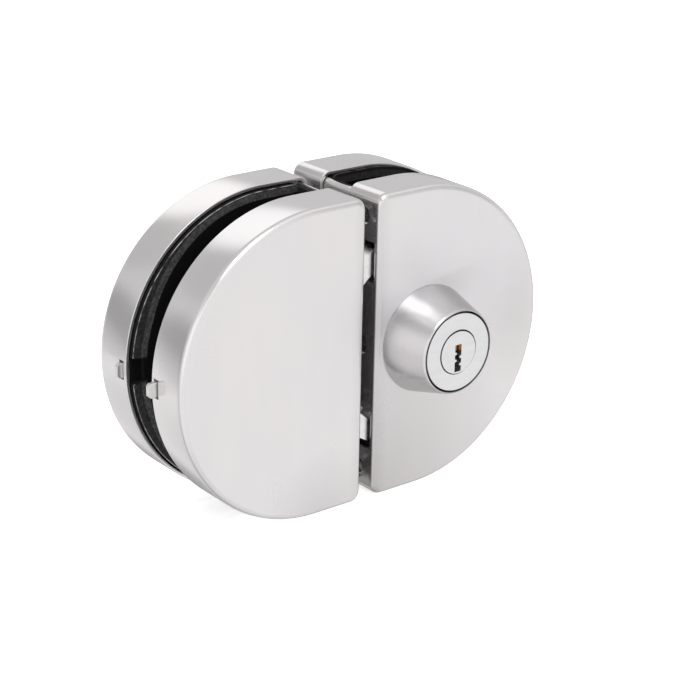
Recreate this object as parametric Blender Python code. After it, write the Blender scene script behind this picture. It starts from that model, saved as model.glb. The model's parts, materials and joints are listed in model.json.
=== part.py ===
"""Lock for a pair of sliding glass doors, in metres.

X runs along the door's travel, Y through the glass with the key side at -Y, and Z up.
The origin is the middle of the gap between the two units, at mid glass and mid height.
The lock unit is at +X and the strike unit at -X. Outlines are drawn for the +X side, as
(x, z) points, and mirrored for the strike.
"""
from math import acos, asin, atan2, cos, pi, radians, sin, sqrt, tan

import bmesh
import bpy

MM = 0.001

# Body of one unit: a half round with two straight flanks
RADIUS = 52.5 * MM
FLANK = 18.5 * MM
UNIT_GAP = 5.0 * MM
DEPTH = 47.4 * MM
RIM_GAP = 15.0 * MM
COVER_WALL = 1.2 * MM
FACE_RADIUS = 2.2 * MM
CORNER_RADIUS = 4.0 * MM
CLEAR = 0.3 * MM

# Folded channel that bridges the glass, and its rubber
GLASS = 12.0 * MM
SHEET = 1.5 * MM
GASKET = 2.8 * MM
GASKET_INSET = 2.4 * MM
TONGUE_WIDTH = 5.4 * MM
TONGUE_PROUD = 3.0 * MM
TONGUE_CHAMFER = 0.8 * MM
TONGUE_SLOT_SPARE = 0.9 * MM
WEB_DROP = 3.2 * MM
WEB_SADDLE = 1.6 * MM
NOTCH_X = 30.0 * MM
NOTCH_SPARE = 1.4 * MM
GASKET_NICK_HALF = 4.5 * MM
GASKET_NICK_DEEP = 4.0 * MM
EDGE_STRIP = 2.0 * MM

# Screws that hold the covers, in the straight side
COVER_SCREW_SHARE = 0.8476
COVER_SCREW_OFFSET = 0.5 * MM
TAB_HALF = 3.5 * MM
TAB_BEYOND = 3.6 * MM
SCREW_HEAD_R = 3.2 * MM
SCREW_SHANK_R = 1.5 * MM
SCREW_SUNK = 0.5 * MM
SCREW_LENGTH = 4.0 * MM
DRIVE_SOCKET_R = 1.3 * MM
DRIVE_SOCKET_DEEP = 0.7 * MM

# Bolts that clamp the glass
BOLT_X = 13.2 * MM
BOLT_Z = 17.0 * MM
BOLT_R = 2.5 * MM
BOLT_HEAD_R = 4.4 * MM
BOLT_HEAD = 2.6 * MM
NUT_R = 4.6 * MM
NUT_LENGTH = 3.0 * MM
BOLT_SOCKET_R = 2.0 * MM
BOLT_SOCKET_DEEP = 1.6 * MM

# Gear train and hooks, seen from the front
MODULE = 1.0 * MM
PINION_TEETH = 10
IDLER_TEETH = 8
HOOK_TEETH = 14
PRESSURE_ANGLE = radians(20)
ADDENDUM = 0.8 * MM
DEDENDUM = 1.1 * MM
BACKLASH = 0.3 * MM
SPARE_TEETH = radians(28)
PIVOT_Z = 7.6 * MM
HOOK_SHARE = 8 / 15
HOOK_WIDE = 6.8 * MM
HOOK_START = radians(106)
HOOK_TIP = radians(177.5)
HOOK_NOSE = 1.6 * MM
HUB_R = 4.5 * MM
WEB_ANGLE = radians(114)
WEB_HALF = 2.0 * MM
PIVOT_R = 2.0 * MM
IDLER_PIN_R = 1.25 * MM
HOOK_SLOT_SPARE = (3.3 * MM, 2.4 * MM)
STRIKE_SLOT_SPARE = 0.95 * MM
KEEPER_SPARE = 1.4 * MM

# Case of the mechanism
CASE_FRONT = 1.4 * MM
CASE_WALL = 1.0 * MM
CASE_LID = 1.3 * MM
CASE_SPARE = 0.5 * MM
CASE_CORNER = 2.0 * MM
BOSS_R = 1.9 * MM
CASE_SCREW_R = 1.1 * MM
CASE_SCREW_HEAD_R = 2.6 * MM
CASE_SCREW_HEAD = 1.6 * MM
CASE_SCREW_LENGTH = 6.0 * MM
CASE_BOSS_EDGE = 3.3 * MM

# Key cylinder and its guard
CYLINDER_X = 23.5 * MM
CYLINDER_PROUD = 16.3 * MM
HOUSING_R = 13.2 * MM
HOUSING_EDGE = 0.35 * MM
PLUG_R = 7.3 * MM
PLUG_COLLAR_R = 8.6 * MM
PLUG_COLLAR = 2.6 * MM
PLUG_GAP = 0.3 * MM
GUARD_BASE_R = 18.5 * MM
GUARD_TOP_R = 14.5 * MM
GUARD_STEP_R = 19.6 * MM
GUARD_STEP = 0.8 * MM
GUARD_EDGE = 0.6 * MM
KEYWAY_TOP = 2.6 * MM
KEYWAY_BOTTOM = -6.8 * MM
KEYWAY_HALF = 1.35 * MM
KEYWAY_DEEP = 11.0 * MM
WARD = 0.75 * MM
WARD_HEIGHT = 1.1 * MM
KEY_PIN_R = 1.0 * MM
KEY_PIN_SET_BACK = 2.4 * MM
KEY_PIN_REACH = 2.2 * MM
KEY_PIN_LENGTH = 4.4 * MM
KEY_PIN_TRAVEL = 0.9 * MM
CYLINDER_SCREW_R = 1.3 * MM
CYLINDER_SCREW_HEAD_R = 2.5 * MM
CYLINDER_SCREW_LENGTH = 7.0 * MM
CYLINDER_SCREW_PITCH = 10.4 * MM

# Spindle and thumb turn at the back
SPINDLE = 3.2 * MM
SPINDLE_SOCKET = 5.0 * MM
ROSE_R = 14.5 * MM
ROSE = 3.0 * MM
TURN_NECK_R = 5.0 * MM
TURN_NECK_IN = 3.4 * MM
TURN_BASE_R = 10.5 * MM
TURN_BASE = 3.6 * MM
TURN_GRIP_HALF = 11.5 * MM
TURN_GRIP_WIDE = 3.3 * MM
TURN_GRIP_EDGE = ((20.0 * MM, 0.0), (1.5 * MM, 0.5 * MM), (0.4 * MM, 1.0 * MM), (0.0, 1.6 * MM))
CLIP = 1.0 * MM
CLIP_DEEP = 0.8 * MM
CLIP_R = 7.0 * MM

# Fineness of round shapes
ARC_STEPS = 32
CORNER_STEPS = 3
EDGE_STEPS = 2
ROUND_STEPS = 28
NECK_STEPS = 16
SMALL_STEPS = 10
PLATE_STEPS = 11
ARM_STEPS = 11
SADDLE_STEPS = 4
WING_STEPS = 6

# Places that follow from the sizes above
STRAIGHT_X = UNIT_GAP / 2
ROUND_X = STRAIGHT_X + FLANK
FACE_Y = DEPTH / 2
RIM_Y = RIM_GAP / 2
INNER_Y = FACE_Y - COVER_WALL
GASKET_IN = GLASS / 2
GASKET_OUT = GASKET_IN + GASKET
PLATE_IN = GASKET_OUT + CLEAR
PLATE_OUT = PLATE_IN + SHEET
WEB_X = STRAIGHT_X + COVER_WALL + CLEAR
WEB_IN_X = WEB_X + SHEET
STRIP_X = WEB_IN_X + CLEAR
STRIP_IN_X = STRIP_X + EDGE_STRIP
NOTCH_HALF = BOLT_Z + NUT_R + NOTCH_SPARE
CASE_LEFT = WEB_X + CLEAR
CASE_Y = -INNER_Y + CLEAR
CASE_IN_Y = CASE_Y + CASE_FRONT
LID_OUT_Y = -PLATE_OUT - CLEAR
LID_IN_Y = LID_OUT_Y - CASE_LID
HOOK_FRONT_Y = CASE_IN_Y + CLEAR
HOOK_BACK_Y = LID_IN_Y - CLEAR
LAYER_Y = (HOOK_FRONT_Y + HOOK_BACK_Y) / 2
SCREW_Y = -LAYER_Y - COVER_SCREW_OFFSET
TAB_Y = SCREW_Y + TAB_BEYOND
COVER_SCREW_Z = RADIUS * COVER_SCREW_SHARE
SLOT_FRONT_Y = HOOK_FRONT_Y - 3 * CLEAR
SLOT_BACK_Y = HOOK_BACK_Y + 2 * CLEAR
CYLINDER_FACE_Y = -FACE_Y - CYLINDER_PROUD
CYLINDER = (CYLINDER_X, 0.0)
COVER_SCREWS = (("upper", COVER_SCREW_Z), ("middle", 0.0), ("lower", -COVER_SCREW_Z))


def pitch_radius(teeth):
    """Pitch radius of a gear with this many teeth."""
    return MODULE * teeth / 2


DRIVE_DISTANCE = pitch_radius(PINION_TEETH) + pitch_radius(HOOK_TEETH)
PIVOT_X = CYLINDER_X - sqrt(DRIVE_DISTANCE ** 2 - PIVOT_Z ** 2)
UPPER_PIVOT = (PIVOT_X, PIVOT_Z)
LOWER_PIVOT = (PIVOT_X, -PIVOT_Z)
HOOK_TURN = radians(90) * PINION_TEETH / HOOK_TEETH
HOOK_OUTER = RADIUS * HOOK_SHARE
HOOK_INNER = HOOK_OUTER - HOOK_WIDE
CASE_X = PIVOT_X + HOOK_OUTER * cos(HOOK_START - HOOK_TURN) + CASE_SPARE + CASE_WALL
CASE_HALF = PIVOT_Z + HOOK_OUTER + CASE_SPARE + CASE_WALL


def crossing(radius, x):
    """Height at which an edge of the upper hook's arm passes x with the hook shut."""
    return PIVOT_Z + sqrt(max(radius ** 2 - (PIVOT_X - x) ** 2, 0.0))


HOOK_SLOT = (crossing(HOOK_INNER, STRAIGHT_X) - HOOK_SLOT_SPARE[0],
             crossing(HOOK_OUTER, STRAIGHT_X + COVER_WALL) + HOOK_SLOT_SPARE[1])
STRIKE_SLOT = (crossing(HOOK_INNER, -STRAIGHT_X - COVER_WALL) - STRIKE_SLOT_SPARE,
               crossing(HOOK_OUTER, -STRAIGHT_X) + STRIKE_SLOT_SPARE)
KEEPER_HALF = crossing(HOOK_INNER, -WEB_IN_X) - KEEPER_SPARE


def direction(start, end):
    """Angle of the line from one (x, z) point to another."""
    return atan2(end[1] - start[1], end[0] - start[0])


def idler_centre():
    """Place of the idler: in mesh with the pinion above it and with the lower hook."""
    to_pinion = pitch_radius(PINION_TEETH) + pitch_radius(IDLER_TEETH)
    to_hook = pitch_radius(HOOK_TEETH) + pitch_radius(IDLER_TEETH)
    base = DRIVE_DISTANCE
    corner = acos((base ** 2 + to_pinion ** 2 - to_hook ** 2) / (2 * base * to_pinion))
    angle = direction(CYLINDER, LOWER_PIVOT) + corner
    return (CYLINDER[0] + to_pinion * cos(angle), CYLINDER[1] + to_pinion * sin(angle))


IDLER = idler_centre()


def clear_scene():
    """Remove every object, so that the script starts from an empty scene."""
    for item in list(bpy.data.objects):
        bpy.data.objects.remove(item)


def material(name, color, roughness, metallic):
    """A plain Principled material."""
    made = bpy.data.materials.new(name)
    made.use_nodes = True
    shader = made.node_tree.nodes["Principled BSDF"]
    shader.inputs["Base Color"].default_value = (*color, 1.0)
    shader.inputs["Roughness"].default_value = roughness
    shader.inputs["Metallic"].default_value = metallic
    return made


def polar(centre, radius, angle):
    """The point at a radius and an angle from a centre."""
    return (centre[0] + radius * cos(angle), centre[1] + radius * sin(angle))


def arc(centre, radius, start, end, steps):
    """Points on an arc, both ends included."""
    return [polar(centre, radius, start + (end - start) * step / steps) for step in range(steps + 1)]


def circle(centre, radius, steps=SMALL_STEPS):
    """Points round a full circle."""
    return arc(centre, radius, 0, 2 * pi, steps)[:-1]


def rectangle(low, high):
    """Corners of a rectangle from its lowest and highest corner."""
    return [low, (high[0], low[1]), high, (low[0], high[1])]


def rounded_rectangle(low, high, radius):
    """A rectangle with four round corners."""
    left, right = low[0] + radius, high[0] - radius
    bottom, top = low[1] + radius, high[1] - radius
    points = []
    for turn, corner in enumerate(((right, top), (left, top), (left, bottom), (right, bottom))):
        points += arc(corner, radius, turn * pi / 2, (turn + 1) * pi / 2, CORNER_STEPS)
    return points


def unit_outline(inset=0.0):
    """Outline of a unit, moved inwards: the round end, two flanks and two corners."""
    radius = RADIUS - inset
    corner = CORNER_RADIUS - inset
    corner_x = STRAIGHT_X + inset + corner
    corner_z = radius - corner
    points = arc((ROUND_X, 0), radius, -pi / 2, pi / 2, ARC_STEPS)
    points += arc((corner_x, corner_z), corner, pi / 2, pi, CORNER_STEPS)
    points += arc((corner_x, -corner_z), corner, pi, 3 * pi / 2, CORNER_STEPS)
    return points


def mirrored(points, side):
    """The outline on the lock side (1) or on the strike side (-1)."""
    return [(side * x, z) for x, z in points]


def new_object(name, mesh_data, look, smooth=True):
    """Put finished mesh data into the scene as an object with its material."""
    mesh = bpy.data.meshes.new(name)
    bmesh.ops.recalc_face_normals(mesh_data, faces=mesh_data.faces)
    mesh_data.to_mesh(mesh)
    mesh_data.free()
    if smooth:
        mesh.shade_smooth()
        mesh.set_sharp_from_angle(angle=radians(35))
    item = bpy.data.objects.new(name, mesh)
    bpy.context.scene.collection.objects.link(item)
    if look:
        mesh.materials.append(look)
    return item


def extruded(name, outlines, low, high, look=None, axis="Y"):
    """Extrude an outline, with any holes after it, between two heights along an axis."""
    corners = {"Y": lambda a, b: (a, low, b), "X": lambda a, b: (low, a, b)}[axis]
    step = {"Y": (0, high - low, 0), "X": (high - low, 0, 0)}[axis]
    data = bmesh.new()
    for outline in outlines:
        ring = [data.verts.new(corners(a, b)) for a, b in outline]
        for index, vertex in enumerate(ring):
            data.edges.new((vertex, ring[(index + 1) % len(ring)]))
    bmesh.ops.triangle_fill(data, edges=data.edges[:], use_beauty=True)
    grown = bmesh.ops.extrude_face_region(data, geom=data.faces[:])
    moved = [part for part in grown["geom"] if isinstance(part, bmesh.types.BMVert)]
    bmesh.ops.translate(data, vec=step, verts=moved)
    return new_object(name, data, look, smooth=False)


def lofted(name, rings, look):
    """Skin a row of equal rings of points and close both ends."""
    data = bmesh.new()
    rows = [[data.verts.new(point) for point in ring] for ring in rings]
    for row, following in zip(rows, rows[1:]):
        for index in range(len(row)):
            after = (index + 1) % len(row)
            data.faces.new((row[index], row[after], following[after], following[index]))
    data.faces.new(rows[0])
    data.faces.new(rows[-1])
    return new_object(name, data, look)


def turned(name, profile, centre, look=None, axis="Y", steps=SMALL_STEPS):
    """Turn a profile of (radius, height) points about an axis through centre.

    A profile that starts and ends on the axis is a solid; any other is closed into a ring.
    """
    data = bmesh.new()
    rows = []
    for radius, height in profile:
        if radius == 0:
            ring = [data.verts.new(turned_point(centre, 0, 0, height, axis))]
        else:
            ring = []
            for step in range(steps):
                angle = 2 * pi * step / steps
                ring.append(data.verts.new(turned_point(centre, radius, angle, height, axis)))
        rows.append(ring)
    if profile[0][0] != 0:
        rows.append(rows[0])
    for row, following in zip(rows, rows[1:]):
        for index in range(steps):
            after = (index + 1) % steps
            corners = [row[index % len(row)], row[after % len(row)]]
            corners += [following[after % len(following)], following[index % len(following)]]
            data.faces.new(list(dict.fromkeys(corners)))
    return new_object(name, data, look)


def turned_point(centre, radius, angle, height, axis):
    """One point of a turned shape, about Y through (x, z) or about X through (y, z)."""
    across = centre[0] + radius * cos(angle)
    up = centre[1] + radius * sin(angle)
    if axis == "Y":
        return (across, height, up)
    return (height, across, up)


def boolean(target, tool, operation):
    """Cut one shape out of another, or join it on, and hide the tool."""
    modifier = target.modifiers.new(tool.name, "BOOLEAN")
    modifier.operation = operation
    modifier.solver = "EXACT"
    modifier.object = tool
    tool.hide_render = True
    tool.display_type = "WIRE"


def cut(target, *tools):
    """Cut each tool out of the target."""
    for tool in tools:
        boolean(target, tool, "DIFFERENCE")


def join(target, *tools):
    """Join each tool to the target."""
    for tool in tools:
        boolean(target, tool, "UNION")


def block(name, low, high):
    """A box used as a cutter."""
    return extruded(name, [rectangle((low[0], low[2]), (high[0], high[2]))], low[1], high[1])


def cover_rings(side, face):
    """Rings of a pressed cover, from its outer face round the rim to its inner face."""
    inner_radius = FACE_RADIUS - COVER_WALL
    outer = []
    inner = []
    for step in range(EDGE_STEPS + 1):
        angle = pi / 2 * step / EDGE_STEPS
        rise = sin(angle)
        outer.append((FACE_RADIUS * (1 - cos(angle)), FACE_Y - FACE_RADIUS * (1 - rise)))
        inner.append((COVER_WALL + inner_radius * (1 - cos(angle)), INNER_Y - inner_radius * (1 - rise)))
    stations = outer[::-1] + [(0.0, RIM_Y), (COVER_WALL, RIM_Y)] + inner
    rings = []
    for inset, y in stations:
        rings.append([(x, face * y, z) for x, z in mirrored(unit_outline(inset), side)])
    return rings


def make_cover(name, side, face, look):
    """One pressed cover with its screw holes and the slot for the channel's tongue."""
    cover = lofted(name, cover_rings(side, face), look)
    for ending, z in COVER_SCREWS:
        profile = [(0, side * (STRAIGHT_X - CLEAR)), (SCREW_HEAD_R + 2 * CLEAR, side * (STRAIGHT_X - CLEAR)),
                   (SCREW_SHANK_R + CLEAR, side * (STRAIGHT_X + COVER_WALL + CLEAR)),
                   (0, side * (STRAIGHT_X + COVER_WALL + CLEAR))]
        cut(cover, turned(f"{name}_sink_{ending}", profile, (face * SCREW_Y, z), axis="X"))
    ends = sorted((side * (ROUND_X + RADIUS - 2 * COVER_WALL), side * (ROUND_X + RADIUS + COVER_WALL)))
    depths = sorted((face * (PLATE_IN - CLEAR), face * (PLATE_OUT + CLEAR)))
    half = TONGUE_WIDTH / 2 + TONGUE_SLOT_SPARE
    cut(cover, block(f"{name}_tongue_slot", (ends[0], depths[0], -half), (ends[1], depths[1], half)))
    return cover


def cut_hook_slots(cover, side, span):
    """Cut the two slots in a front cover that the hooks pass through."""
    ends = sorted((side * (STRAIGHT_X - COVER_WALL), side * (STRAIGHT_X + COVER_WALL + CLEAR)))
    for ending, sign in (("upper", 1), ("lower", -1)):
        heights = sorted((sign * span[0], sign * span[1]))
        low = (ends[0], SLOT_FRONT_Y, heights[0])
        high = (ends[1], SLOT_BACK_Y, heights[1])
        cut(cover, block(f"{cover.name}_hook_slot_{ending}", low, high))


def plate_outline():
    """Outline of a clamping plate, with the tongue in the middle of its round end."""
    inset = COVER_WALL + CLEAR
    radius = RADIUS - inset
    half = TONGUE_WIDTH / 2
    tip = ROUND_X + RADIUS + TONGUE_PROUD
    corner = CORNER_RADIUS - inset
    corner_x = WEB_X + SHEET / 2 + corner
    bend = asin(half / radius)
    points = arc((ROUND_X, 0), radius, -pi / 2, -bend, PLATE_STEPS)
    points += [(tip - TONGUE_CHAMFER, -half), (tip, -half + TONGUE_CHAMFER)]
    points += [(tip, half - TONGUE_CHAMFER), (tip - TONGUE_CHAMFER, half)]
    points += arc((ROUND_X, 0), radius, bend, pi / 2, PLATE_STEPS)
    points += arc((corner_x, radius - corner), corner, pi / 2, pi, CORNER_STEPS)
    points += arc((corner_x, corner - radius), corner, pi, 3 * pi / 2, CORNER_STEPS)
    return points


def plate_holes(side, face):
    """Holes of a clamping plate: the glass bolts, the spindle and the case screws."""
    holes = [circle((BOLT_X, z), BOLT_R + CLEAR) for z in (BOLT_Z, -BOLT_Z)]
    if side > 0:
        holes.append(circle(CYLINDER, SPINDLE / sqrt(2) + 2 * CLEAR))
        if face < 0:
            holes += [circle(place, CASE_SCREW_R + CLEAR) for place in case_screw_places()]
    return holes


def web_outline(front_tabs, back_tabs):
    """Outline of the channel's web as (y, z): saddle ends, and tabs for the cover screws."""
    half = (PLATE_IN + PLATE_OUT) / 2
    top = RADIUS - WEB_DROP

    def saddle(sign):
        points = []
        for step in range(2 * SADDLE_STEPS + 1):
            share = 1 - step / SADDLE_STEPS
            points.append((half * share, sign * (top - WEB_SADDLE * (1 - share * share))))
        return points

    points = []
    for centre, tall, reach in sorted(back_tabs):
        points += [(half, centre - tall), (reach, centre - tall)]
        points += [(reach, centre + tall), (half, centre + tall)]
    points += saddle(1)
    for centre, tall, reach in sorted(front_tabs, reverse=True):
        points += [(-half, centre + tall), (-reach, centre + tall)]
        points += [(-reach, centre - tall), (-half, centre - tall)]
    points += saddle(-1)[::-1]
    return points


def make_channel(name, side, look):
    """The folded channel: a web that bridges the glass edge, and a plate on each side of it."""
    ends = [(COVER_SCREW_Z, TAB_HALF, TAB_Y), (-COVER_SCREW_Z, TAB_HALF, TAB_Y)]
    back_tabs = ends + [(0.0, TAB_HALF, TAB_Y)]
    front_tabs = list(ends)
    front_screws = [COVER_SCREW_Z, -COVER_SCREW_Z]
    if side < 0:
        front_tabs.append((0.0, KEEPER_HALF, -SLOT_FRONT_Y))
        front_screws.append(0.0)
    holes = [circle((-SCREW_Y, z), SCREW_SHANK_R + CLEAR) for z in front_screws]
    holes += [circle((SCREW_Y, z), SCREW_SHANK_R + CLEAR) for z in (COVER_SCREW_Z, 0.0, -COVER_SCREW_Z)]
    faces = sorted((side * WEB_X, side * WEB_IN_X))
    channel = extruded(name, [web_outline(front_tabs, back_tabs)] + holes, *faces, look, axis="X")
    for ending, face in (("front", -1), ("back", 1)):
        depths = sorted((face * PLATE_IN, face * PLATE_OUT))
        outlines = [plate_outline()] + plate_holes(side, face)
        plate = extruded(f"{name}_{ending}_plate", [mirrored(line, side) for line in outlines], *depths)
        join(channel, plate)
    return channel


def gasket_outline():
    """Outline of a glass gasket: round the notch in the glass, with a nick at its round end."""
    radius = RADIUS - GASKET_INSET
    corner = CORNER_RADIUS - GASKET_INSET
    left = STRIP_IN_X + CLEAR
    end = ROUND_X + radius - GASKET_NICK_DEEP
    bend = asin(GASKET_NICK_HALF / radius)
    points = arc((ROUND_X, 0), radius, -pi / 2, -bend, PLATE_STEPS)
    points += [(end, -GASKET_NICK_HALF), (end, GASKET_NICK_HALF)]
    points += arc((ROUND_X, 0), radius, bend, pi / 2, PLATE_STEPS)
    points += arc((left + corner, radius - corner), corner, pi / 2, pi, CORNER_STEPS)
    points += [(left, NOTCH_HALF), (NOTCH_X, NOTCH_HALF)]
    points += [(NOTCH_X, -NOTCH_HALF), (left, -NOTCH_HALF)]
    points += arc((left + corner, corner - radius), corner, pi, 3 * pi / 2, CORNER_STEPS)
    return points


def make_gaskets(prefix, side, look):
    """Two sheets of rubber against the glass, and a strip against its edge."""
    for ending, face in (("front", -1), ("back", 1)):
        depths = sorted((face * GASKET_IN, face * GASKET_OUT))
        outlines = [gasket_outline()]
        if side > 0 and face < 0:
            outlines += [circle(place, CASE_SCREW_HEAD_R + 2 * CLEAR) for place in case_screw_places()]
        extruded(f"{prefix}_{ending}_gasket", [mirrored(line, side) for line in outlines], *depths, look)
    half = GASKET_OUT - CLEAR
    top = RADIUS - WEB_DROP - WEB_SADDLE - CLEAR
    faces = sorted((side * STRIP_X, side * STRIP_IN_X))
    extruded(f"{prefix}_edge_gasket", [rectangle((-half, -top), (half, top))], *faces, look, axis="X")


def make_cover_screw(name, side, face, z, look):
    """A sunk cover screw with a round drive socket."""
    top = STRAIGHT_X + SCREW_SUNK
    neck = STRAIGHT_X + COVER_WALL + CLEAR
    slope = (SCREW_HEAD_R - SCREW_SHANK_R) / (neck - STRAIGHT_X)
    profile = [(0, top + DRIVE_SOCKET_DEEP), (DRIVE_SOCKET_R, top + DRIVE_SOCKET_DEEP)]
    profile += [(DRIVE_SOCKET_R, top), (SCREW_HEAD_R - slope * SCREW_SUNK, top)]
    profile += [(SCREW_SHANK_R, neck), (SCREW_SHANK_R, STRAIGHT_X + SCREW_LENGTH), (0, STRAIGHT_X + SCREW_LENGTH)]
    profile = [(radius, side * x) for radius, x in profile]
    return turned(name, profile, (face * SCREW_Y, z), look, axis="X")


def make_clamp(prefix, side, z, steel, plated):
    """A bolt that draws the two plates together, and its nut on the front plate."""
    ending = "upper" if z > 0 else "lower"
    centre = (side * BOLT_X, z)
    seat = PLATE_OUT + CLEAR
    head = seat + BOLT_HEAD
    profile = [(0, -PLATE_OUT), (BOLT_R, -PLATE_OUT), (BOLT_R, seat), (BOLT_HEAD_R, seat), (BOLT_HEAD_R, head)]
    profile += [(BOLT_SOCKET_R, head), (BOLT_SOCKET_R, head - BOLT_SOCKET_DEEP), (0, head - BOLT_SOCKET_DEEP)]
    turned(f"{prefix}_clamp_bolt_{ending}", profile, centre, steel)
    near = -PLATE_IN + CLEAR
    nut = [circle(centre, NUT_R, 6), circle(centre, BOLT_R + CLEAR)]
    extruded(f"{prefix}_clamp_nut_{ending}", nut, near, near + NUT_LENGTH, plated)


def make_unit(prefix, side, looks):
    """The covers, channel, rubber and fasteners that both units have."""
    covers = {}
    for ending, face in (("front", -1), ("back", 1)):
        covers[ending] = make_cover(f"{prefix}_{ending}_cover", side, face, looks["brushed"])
        for place, z in COVER_SCREWS:
            name = f"{prefix}_{ending}_screw_{place}"
            make_cover_screw(name, side, face, z, looks["steel"])
    make_channel(f"{prefix}_channel", side, looks["sheet"])
    make_gaskets(prefix, side, looks["rubber"])
    for z in (BOLT_Z, -BOLT_Z):
        make_clamp(prefix, side, z, looks["steel"], looks["zinc"])
    return covers


def involute(angle):
    """Involute function."""
    return tan(angle) - angle


def half_tooth(pitch, radius):
    """Half the angle that a tooth takes up at a radius."""
    base = pitch * cos(PRESSURE_ANGLE)
    at_pitch = (pi * MODULE / 2 - BACKLASH) / (2 * pitch)
    slope = acos(min(1.0, base / radius))
    return at_pitch + involute(PRESSURE_ANGLE) - involute(slope)


def tooth(centre, pitch, angle):
    """Points of one tooth, from its clockwise root to its other root."""
    base = pitch * cos(PRESSURE_ANGLE)
    root = pitch - DEDENDUM
    tip = pitch + ADDENDUM
    radii = [root, max(base, root + DEDENDUM / 4), pitch, tip]
    points = [polar(centre, radius, angle - half_tooth(pitch, radius)) for radius in radii]
    points += [polar(centre, radius, angle + half_tooth(pitch, radius)) for radius in radii[::-1]]
    return points


def gear_outline(teeth, centre, tooth_angle):
    """Outline of a whole gear with one tooth centred at tooth_angle."""
    points = []
    for index in range(teeth):
        points += tooth(centre, pitch_radius(teeth), tooth_angle + 2 * pi * index / teeth)
    return points


def sector_outline(teeth, centre, space_angle, first, last, hub):
    """Outline of a toothed sector between two angles, closed round the hub."""
    pitch_angle = 2 * pi / teeth
    start = space_angle + pitch_angle / 2
    while start > first:
        start -= pitch_angle
    while start < first:
        start += pitch_angle
    points = []
    angle = start
    while angle <= last:
        points += tooth(centre, pitch_radius(teeth), angle)
        angle += pitch_angle
    points += arc(centre, hub, angle - pitch_angle / 2, start - pitch_angle / 2 + 2 * pi, SMALL_STEPS)
    return points


def meshed_space(pitch, tooth_angle, towards, other_pitch):
    """Angle of the space on a second gear that takes the first gear's tooth.

    The first gear has a tooth at tooth_angle, and the second lies in direction towards.
    """
    offset = (tooth_angle - towards) * pitch / other_pitch
    return towards + pi - offset


def nearest_tooth(teeth, tooth_angle, towards):
    """The tooth of a gear that lies nearest to a direction."""
    pitch_angle = 2 * pi / teeth
    return tooth_angle + round((towards - tooth_angle) / pitch_angle) * pitch_angle


PINION_TOOTH = direction(CYLINDER, UPPER_PIVOT)
UPPER_SPACE = direction(UPPER_PIVOT, CYLINDER)
TO_IDLER = direction(CYLINDER, IDLER)
IDLER_SPACE = meshed_space(pitch_radius(PINION_TEETH), nearest_tooth(PINION_TEETH, PINION_TOOTH, TO_IDLER),
                           TO_IDLER, pitch_radius(IDLER_TEETH))
IDLER_TOOTH = IDLER_SPACE + pi / IDLER_TEETH
IDLER_TO_HOOK = direction(IDLER, LOWER_PIVOT)
LOWER_SPACE = meshed_space(pitch_radius(IDLER_TEETH), nearest_tooth(IDLER_TEETH, IDLER_TOOTH, IDLER_TO_HOOK),
                           IDLER_TO_HOOK, pitch_radius(HOOK_TEETH))


def arm_outline(centre, sign):
    """The hook's arm: a stretch of ring about the pivot, with a rounded nose inside the strike."""
    nose_inner = HOOK_TIP - HOOK_NOSE / HOOK_INNER
    nose_outer = HOOK_TIP - HOOK_NOSE / HOOK_OUTER
    points = arc(centre, HOOK_OUTER, HOOK_START, nose_outer, ARM_STEPS)
    points.append(polar(centre, HOOK_OUTER - HOOK_NOSE, HOOK_TIP))
    points.append(polar(centre, HOOK_INNER + HOOK_NOSE, HOOK_TIP))
    points += arc(centre, HOOK_INNER, nose_inner, HOOK_START, ARM_STEPS)
    if sign < 0:
        points = [(x, 2 * centre[1] - z) for x, z in points]
    return points


def make_hook(name, pivot, sign, space_angle, teeth_span, layer, look):
    """A hook: hub, toothed sector in one layer, web and arm."""
    hub = extruded(name, [circle(pivot, HUB_R, NECK_STEPS)], HOOK_FRONT_Y, HOOK_BACK_Y, look)
    reach = (HOOK_INNER + HOOK_OUTER) / 2
    along = (cos(WEB_ANGLE), sign * sin(WEB_ANGLE))
    across = (-along[1] * WEB_HALF, along[0] * WEB_HALF)
    end = (pivot[0] + along[0] * reach, pivot[1] + along[1] * reach)
    corners = [(pivot[0] + across[0], pivot[1] + across[1]), (end[0] + across[0], end[1] + across[1])]
    corners += [(end[0] - across[0], end[1] - across[1]), (pivot[0] - across[0], pivot[1] - across[1])]
    web = extruded(f"{name}_web", [corners], HOOK_FRONT_Y, HOOK_BACK_Y)
    arm = extruded(f"{name}_arm", [arm_outline(pivot, sign)], HOOK_FRONT_Y, HOOK_BACK_Y)
    teeth = sector_outline(HOOK_TEETH, pivot, space_angle, *teeth_span, HUB_R)
    sector = extruded(f"{name}_sector", [teeth], *layer)
    join(hub, web, arm, sector)
    bore = turned(f"{name}_bore", solid_profile(PIVOT_R + CLEAR, HOOK_FRONT_Y - MM, HOOK_BACK_Y + MM), pivot)
    cut(hub, bore)
    return hub


def solid_profile(radius, low, high):
    """Profile of a plain round bar."""
    return [(0, low), (radius, low), (radius, high), (0, high)]


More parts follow.
